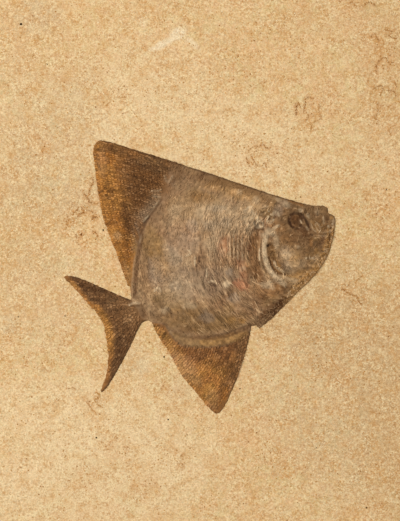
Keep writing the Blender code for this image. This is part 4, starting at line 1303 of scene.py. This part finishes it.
# Worm-like trails of iron oxide on the face: width, strength, route.
IRON_TRAILS = [
    (2.4, 0.9, [(105.5, 160), (106, 168), (108, 172), (110, 170)]),
    (1.8, 0.8, [(113.5, 163.5), (115.5, 171), (116.5, 177.5), (120, 180), (124.5, 177.5)]),
    (1.5, 0.6, [(116.5, 153.5), (119, 158), (117.5, 163.5)]),
    (1.5, 0.6, [(131, 173), (131, 163.5), (133, 157), (127.5, 153.5), (123, 149), (122, 144.5)]),
    (1.5, 0.6, [(53, 120.5), (57, 124), (60.5, 126), (65, 125)]),
    (1.8, 0.9, [(66, 126), (70.5, 127), (72.5, 124), (76, 125)]),
    (1.8, 0.8, [(50.5, 113), (51.5, 109.5), (56, 103)]),
    (1.7, 0.7, [(56, 116), (58.5, 110.5), (61.5, 105)]),
    (1.8, 0.7, [(68, 104), (71.5, 107.5), (72.5, 102)]),
    (1.4, 0.5, [(80.5, 85), (83.5, 87.5), (86, 84), (81.5, 83)]),
    (2.2, 0.65, [(155, -31.5), (159.5, -33), (164.5, -36.5), (169, -38), (173.5, -40.5), (174.5, -45.5),
        (178, -48)]),
    (1.5, 0.6, [(178, -17.5), (174.5, -20), (171.5, -23.5)]),
    (1.5, 0.6, [(164.5, -21.5), (164, -27), (157.5, -26)]),
    (2.0, 0.9, [(-118.5, 91.5), (-117.5, 86.5), (-118.5, 83.5), (-121, 79), (-122.5, 72.5)]),
    (2.0, 0.9, [(-127.5, 73.5), (-124, 68.5), (-120.5, 64), (-113, 62.5)]),
    (2.0, 0.8, [(-134, 58.5), (-135, 56.5), (-138.5, 53), (-139.5, 49)]),
    (2.0, 0.8, [(-130.5, 57), (-127.5, 53), (-131.5, 52), (-134.5, 48)]),
    (1.5, 0.6, [(-126, 56), (-119.5, 54), (-113, 49.5)]),
    (2.6, 0.9, [(-113.5, 48), (-118.5, 47), (-118, 44)]),
    (2.9, 0.9, [(-132.5, 31.5), (-129.5, 28)]),
    (1.8, 0.7, [(-136.5, 29), (-135, 24.5)]),
    (1.8, 0.7, [(-118.5, 33), (-113, 28), (-115, 23.5)]),
    (1.5, 0.6, [(-147.5, 50), (-145, 45.5), (-147.5, 41), (-144, 38)]),
    (1.5, 0.6, [(-146.5, -141.5), (-141, -140), (-137.5, -141)]),
    (2.0, 0.35, [(-114.5, -145), (-110, -149.5), (-115.5, -153), (-112.5, -158.5), (-107, -162)]),
    (1.7, 0.3, [(-126, -155), (-122.5, -158.5), (-118.5, -163.5), (-113.5, -169.5)]),
    (2.2, 0.55, [(178, 280), (181, 281.5), (185.5, 284.5), (192, 281.5)]),
    (1.8, 0.6, [(163, 281), (167, 284.5), (170.5, 280)]),
    (1.8, 0.6, [(187.5, 244), (189, 247.5), (192.5, 249), (197, 240.5)]),
    (2.0, 0.6, [(203, 254), (211, 251.5), (208, 247), (216.5, 244)]),
    (2.0, 0.65, [(213.5, 218.5), (208.5, 216.5), (204, 223), (198.5, 221), (194.5, 215.5), (193.5, 207.5)]),
    (1.8, 0.7, [(214, 195.5), (216.5, 190)]),
    (1.8, 0.7, [(190, 189), (200, 191.5), (198.5, 181.5)]),
    (1.8, 0.7, [(205.5, 187), (213, 186), (215.5, 181)]),
    (1.8, 0.5, [(191, 176), (195.5, 171.5), (194.5, 162.5), (192, 156), (196.5, 155)]),
    (1.8, 0.3, [(214.5, 149), (208, 144.5), (210, 137)]),
]


def face_marks(x, y):
    """How strongly each kind of mark shows at each point of the slab's face. The halo is a paler strip of
    the face beside the fish, strongest along its back."""
    marks = {name: np.zeros(x.shape) for name in ("calcite", "iron", "dusk", "pale", "ash", "trail")}
    for seed, (name, strength, middle, reach, turned) in enumerate(FACE_PATCHES, 500):
        marks[name] = np.maximum(marks[name], strength * patch_mark(x, y, middle, reach, turned, seed))
    for width, strength, route in IRON_TRAILS:
        marks["trail"] = np.maximum(marks["trail"], strength * line_mark(x, y, route, width, 3.5))
    away = -depth_inside(x, y, curved(FISH_OUTLINE, closed=True, step=4))
    uneven = (0.6 + 0.4 * mottle(x, y, 30, 77)) * (0.15 + 0.85 * fade(y, -60, 10))
    marks["halo"] = (1 - fade(away, 2, 7)) * uneven
    return marks


def iron_grains(half):
    """Grains of iron oxide: dense along the trails, clustered in the stains and thinly strewn between.
    Each row is x, y, turn, length, width, height, tone; pale grains have a tone below 0, manganese 2."""
    draws = np.random.default_rng(31)
    rows = []
    for width, strength, route in IRON_TRAILS:
        line = curved(route, step=TRAIL_STEP)
        line = line + draws.normal(0, width * 0.27, line.shape)
        size = width * draws.uniform(0.3, 0.65, len(line))
        tone = np.clip(strength * draws.uniform(0.3, 1.2, len(line)), 0, 1)
        rows.append(np.stack([*line.T, size, tone], axis=1)[draws.uniform(0, 1, len(line)) < 0.8])
    rows.append(np.array([(across, up, size, 2.0) for across, up, size in MANGANESE_SPOTS]))
    x, y = draws.uniform(-1, 1, (2, GRAIN_TRIALS)) * (half[:, None] - 6)
    marks = face_marks(x, y)
    chance = 0.05 + 0.5 * marks["iron"] + 0.35 * fade(mottle(x, y, 16, 95, 3), 0.15, 0.6)
    keep = (draws.uniform(0, 1, len(x)) < chance) & (marks["halo"] < 0.5)
    x, y = x[keep], y[keep]
    pale = draws.uniform(0, 1, len(x)) < 0.22
    tone = np.where(pale, -draws.uniform(0.4, 1, len(x)), draws.beta(1.4, 3.5, len(x)))
    rows.append(np.stack([x, y, draws.uniform(0.7, 2.0, len(x)), tone], axis=1))
    x, y, size, tone = np.vstack(rows).T
    width = size * draws.uniform(0.6, 1.0, len(x))
    turn = draws.uniform(0, math.tau, len(x))
    return np.stack([x, y, turn, size, width, 0.12 + 0.1 * size, tone], axis=1)


def make_iron():
    """Bake the grains of iron oxide onto the slab's face."""
    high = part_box("limestone_slab")[1]
    half, top = np.array([high.x, high.y]) / MM, high.z / MM
    grains = iron_grains(half)
    x, y = grains[:, 0], grains[:, 1]
    from_rim = np.minimum(half[0] - np.abs(x), half[1] - np.abs(y))
    floor = top + face_height(x, y, from_rim)
    paint = {"tone": grains[:, 6]}
    lay_chips("iron_oxide_grains", grains, floor, paint, 0.0, 7, 5, 0.4, iron_oxide())


# ---- the materials ----


def add(tree, kind, inputs=None, **settings):
    """Add a node: its own settings, and for each input a value or the socket that feeds it."""
    node = tree.nodes.new(kind)
    for name, value in settings.items():
        setattr(node, name, value)
    for name, value in (inputs or {}).items():
        if isinstance(value, bpy.types.NodeSocket):
            tree.links.new(value, node.inputs[name])
        else:
            node.inputs[name].default_value = value
    return node


def new_material(name, roughness, ior):
    """A dusty, matt surface: its highlights are a fifth as strong as a clean one's."""
    material = bpy.data.materials.new(name)
    material.use_nodes = True
    tree = material.node_tree
    shader = tree.nodes["Principled BSDF"]
    shader.inputs["Roughness"].default_value = roughness
    shader.inputs["IOR"].default_value = ior
    shader.inputs["Specular IOR Level"].default_value = 0.1
    return material, tree, shader


def pattern(tree, place, size, detail=2.0, rough=0.5, low=0.35, high=0.65, least=0.0, most=1.0):
    """Noise in blotches of this many millimetres. Where it runs from low to high, the result runs from
    least to most."""
    noise = add(tree, "ShaderNodeTexNoise", {
        "Vector": place, "Scale": 1 / (size * MM), "Detail": detail, "Roughness": rough})
    return add(tree, "ShaderNodeMapRange", {
        0: noise.outputs[0], 1: low, 2: high, 3: least, 4: most}).outputs[0]


def coat(tree, under, over, *shares):
    """A coat of one colour over another; colours are hex codes or sockets. How much it covers is the
    product of its shares: numbers, sockets, or names of the masks kept on the mesh."""
    amount = None
    for share in shares:
        if isinstance(share, str):
            share = add(tree, "ShaderNodeAttribute", attribute_name=share).outputs["Fac"]
        if amount is None:
            amount = share
        else:
            amount = add(tree, "ShaderNodeMath", {0: amount, 1: share}, operation="MULTIPLY").outputs[0]
    under, over = (colour(paint) if isinstance(paint, str) else paint for paint in (under, over))
    return add(tree, "ShaderNodeMix", {0: amount, 6: under, 7: over}, data_type="RGBA").outputs[2]


def paint_and_grain(tree, shader, paint, place, grain_size, strength, depth):
    """Join the paint to the shader, with a fine grain pressed into the surface; sizes in millimetres."""
    tree.links.new(paint, shader.inputs["Base Color"])
    grain = add(tree, "ShaderNodeTexNoise", {
        "Vector": place, "Scale": 1 / (grain_size * MM), "Detail": 4.0, "Roughness": 0.6})
    bump = add(tree, "ShaderNodeBump", {
        "Height": grain.outputs[0], "Strength": strength, "Distance": depth * MM})
    tree.links.new(bump.outputs[0], shader.inputs["Normal"])


def limestone():
    """Platy limestone split along its bedding: dry, matt and even-grained, so its colour carries the eye,
    with broad dusky, pale and ashen areas, clouds and stains of rust, a few dark specks, white calcite,
    and paler fresh breaks on the walls. The broad dusky areas along the right edge and the broad pale one
    at the lower left are partly painted shade and painted light, darker towards the right as the key light
    falls off. The real grain is a few hundredths of a millimetre across, too fine to show, so it is drawn
    1.3 to 3 mm across."""
    material, tree, shader = new_material("platy limestone, split and hand trimmed", 0.88, 1.5)
    place = add(tree, "ShaderNodeTexCoord").outputs["Object"]
    aside = add(tree, "ShaderNodeMapping", {"Vector": place, "Location": (0.31, 0.17, 0.0)}).outputs[0]

    # broad areas, clouds and stains
    paint = coat(tree, "#dabf89", "#deb27d", pattern(tree, place, 34, 3, 0.6))
    paint = coat(tree, paint, "#e0b486", pattern(tree, aside, 7, 2, 0.5, 0.45, 0.6), 0.6)
    # dusk and pale: darker and paler rock, and in their broadest patches painted shade towards the right
    # and painted light at the lower left
    paint = coat(tree, paint, "#bd9360", "dusk", 0.7)
    paint = coat(tree, paint, "#ecd2a6", "pale", 0.7)
    paint = coat(tree, paint, "#c4b08c", "ash", 0.55)
    paint = coat(tree, paint, "#cb9758", pattern(tree, place, 13, 4, 0.65, 0.46, 0.66), 0.65)
    paint = coat(tree, paint, "#c4884a", "iron", pattern(tree, aside, 7, 4, 0.6, 0.35, 0.62), 0.6)
    paint = coat(tree, paint, "#ead0a0", pattern(tree, aside, 11, 4, 0.65, 0.5, 0.68), 0.6)
    paint = coat(tree, paint, "#f0dab4", "calcite", 0.95)
    paint = coat(tree, paint, "#bb7f40", "trail", pattern(tree, place, 2.6, 2, 0.6, 0.3, 0.6), 0.7)
    paint = coat(tree, paint, "#ecd0a0", "halo", 0.35)

    # sparse dark specks, about 14 mm apart
    cells = add(tree, "ShaderNodeTexVoronoi", {"Vector": place, "Scale": 1 / (14 * MM)}).outputs["Distance"]
    dots = add(tree, "ShaderNodeMapRange", {0: cells, 1: 0.075, 2: 0.04}).outputs[0]
    paint = coat(tree, paint, "#8a6236", dots, 0.5)

    # dark and pale grain, stronger in some places than in others
    restless = pattern(tree, aside, 20, 2, 0.5, 0.4, 0.6, 0.55, 1.0)
    for where, size, low, tint, most in (
        (place, 2.6, 0.48, "#b57f45", 0.7), (place, 1.5, 0.5, "#a06e3a", 0.65),
        (aside, 3.0, 0.48, "#efd4a2", 0.65), (aside, 1.6, 0.5, "#f6dfb2", 0.65),
    ):
        specks = pattern(tree, where, size, 2, 0.6, low, low + 0.2)
        paint = coat(tree, paint, tint, specks, restless, most)
    grains = pattern(tree, place, 1.3, 1, 0.6, 0.25, 0.75, 0.78, 1.22)
    paint = add(tree, "ShaderNodeVectorMath", {0: paint, "Scale": grains}, operation="SCALE").outputs[0]

    # beds on the walls: bands that lie flat
    flat = add(tree, "ShaderNodeMapping", {"Vector": place, "Scale": (0.06, 0.06, 1.0)}).outputs[0]
    beds = coat(tree, "#cba772", "#e3c99c", pattern(tree, flat, 1.6, 3, 0.6, 0.4, 0.6))
    paint = coat(tree, paint, beds, "wall", 0.7)
    paint_and_grain(tree, shader, paint, place, 1.8, 0.35, 0.5)
    return material


def iron_oxide():
    """Iron oxide weathered out of the rock in thin earthy crusts: quite dull, orange where thin and dark
    brown where thick, with a few pale grains of calcite and near-black ones of manganese among them."""
    material, tree, shader = new_material("iron oxide, weathered to an earthy crust", 0.95, 1.5)
    place = add(tree, "ShaderNodeTexCoord").outputs["Object"]
    tone = add(tree, "ShaderNodeAttribute", attribute_name="tone").outputs["Fac"]
    paint = coat(tree, "#cf9d5c", "#c28d4c", pattern(tree, place, 4, 2))
    for start, full, tint in ((0.1, 1.0, "#80481a"), (0.0, -0.6, "#f2dcb2"), (1.2, 1.8, "#35230f")):
        amount = add(tree, "ShaderNodeMapRange", {0: tone, 1: start, 2: full}).outputs[0]
        paint = coat(tree, paint, tint, amount)
    tree.links.new(paint, shader.inputs["Base Color"])
    return material


def fossil_bone():
    """Phosphatised bone and scale, split open with the rock: brown and fibrous, a little smoother than
    the rock, stained rusty in the fins. Its real grain is under 0.1 mm and is drawn about 2 mm across."""
    material, tree, shader = new_material("phosphatised bone, split along the bedding", 0.62, 1.55)
    place = add(tree, "ShaderNodeTexCoord").outputs["Object"]
    paint = coat(tree, "#97724f", "#af8d66", pattern(tree, place, 16, 3))
    paint = coat(tree, paint, "#826243", pattern(tree, place, 5, 3, low=0.45, high=0.7), 0.5)
    broken = pattern(tree, place, 3.2, 4, 0.65, 0.3, 0.7, 0.72, 1.12)
    # the tints, with chalk and ink also carrying the painted highlights and painted shade marked in the
    # lists
    for name, tint in BONE_TINTS.items():
        paint = coat(tree, paint, tint, name, broken)
    paint = coat(tree, paint, "#2c1607", "fin", 0.27)

    # each chip's and each fibre's own shade, the brightest ones paler still, and the grain over all
    streak = add(tree, "ShaderNodeAttribute", attribute_name="streak").outputs["Fac"]
    light = add(tree, "ShaderNodeMapRange", {0: streak, 1: 0.45, 2: 1.0, 4: 0.35}).outputs[0]
    paint = coat(tree, paint, "#d3b48a", light)
    shade = add(tree, "ShaderNodeMapRange", {0: streak, 1: -1.0, 2: 1.0, 3: 0.5, 4: 1.5}).outputs[0]
    grit = pattern(tree, place, 1.9, 2, 0.7, 0.3, 0.7, 0.84, 1.18)
    for factor in (shade, grit):
        paint = add(tree, "ShaderNodeVectorMath", {0: paint, "Scale": factor}, operation="SCALE").outputs[0]
    paint_and_grain(tree, shader, paint, place, 1.1, 0.4, 0.4)
    return material


# ---- the studio ----


def make_studio(face):
    """A pale floor, a soft key light from the upper left, a weak fill and an even sky."""
    bpy.ops.mesh.primitive_plane_add(size=FLOOR_SIZE, location=(0, 0, 0))
    floor = bpy.context.object
    floor.name = "studio_floor"
    material, _, shader = new_material("matt studio paper", 0.9, 1.45)
    shader.inputs["Base Color"].default_value = colour("#d9d7d3")
    floor.data.materials.append(material)
    for name, (power, width, place) in LAMPS.items():
        lamp = bpy.data.lights.new(name, "AREA")
        lamp.energy = power
        lamp.size = width
        light = bpy.data.objects.new(name, lamp)
        light.location = place
        light.rotation_euler = (Vector((0, 0, face)) - Vector(place)).to_track_quat("-Z", "Y").to_euler()
        bpy.context.scene.collection.objects.link(light)
    world = bpy.data.worlds.new("studio")
    world.use_nodes = True
    sky = world.node_tree.nodes["Background"]
    sky.inputs["Color"].default_value = colour("#f4f2ee")
    sky.inputs["Strength"].default_value = SKY_STRENGTH
    bpy.context.scene.world = world
    bpy.context.scene.view_settings.view_transform = "Standard"


def make_camera(face):
    """Straight above the slab, through a long lens."""
    lens = bpy.data.cameras.new("camera")
    lens.sensor_width = SENSOR_WIDTH
    lens.lens = SENSOR_WIDTH * CAMERA_RISE / VIEW_LENGTH
    lens.clip_end = 50
    camera = bpy.data.objects.new("camera", lens)
    camera.location = (0, 0, face + CAMERA_RISE)
    bpy.context.scene.collection.objects.link(camera)
    bpy.context.scene.camera = camera


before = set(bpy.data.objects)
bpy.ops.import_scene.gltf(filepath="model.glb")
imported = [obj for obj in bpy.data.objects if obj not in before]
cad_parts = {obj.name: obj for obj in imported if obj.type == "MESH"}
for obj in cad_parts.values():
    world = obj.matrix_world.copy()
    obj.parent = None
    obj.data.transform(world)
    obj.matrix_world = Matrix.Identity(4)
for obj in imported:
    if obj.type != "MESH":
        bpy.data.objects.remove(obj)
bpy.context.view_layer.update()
slab_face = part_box("limestone_slab")[1].z
make_camera(slab_face)
make_studio(slab_face)
make_slab(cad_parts["limestone_slab"])
make_iron()
bone = fossil_bone()
make_fish(slab_face / MM, bone)
make_chips(slab_face / MM, bone)
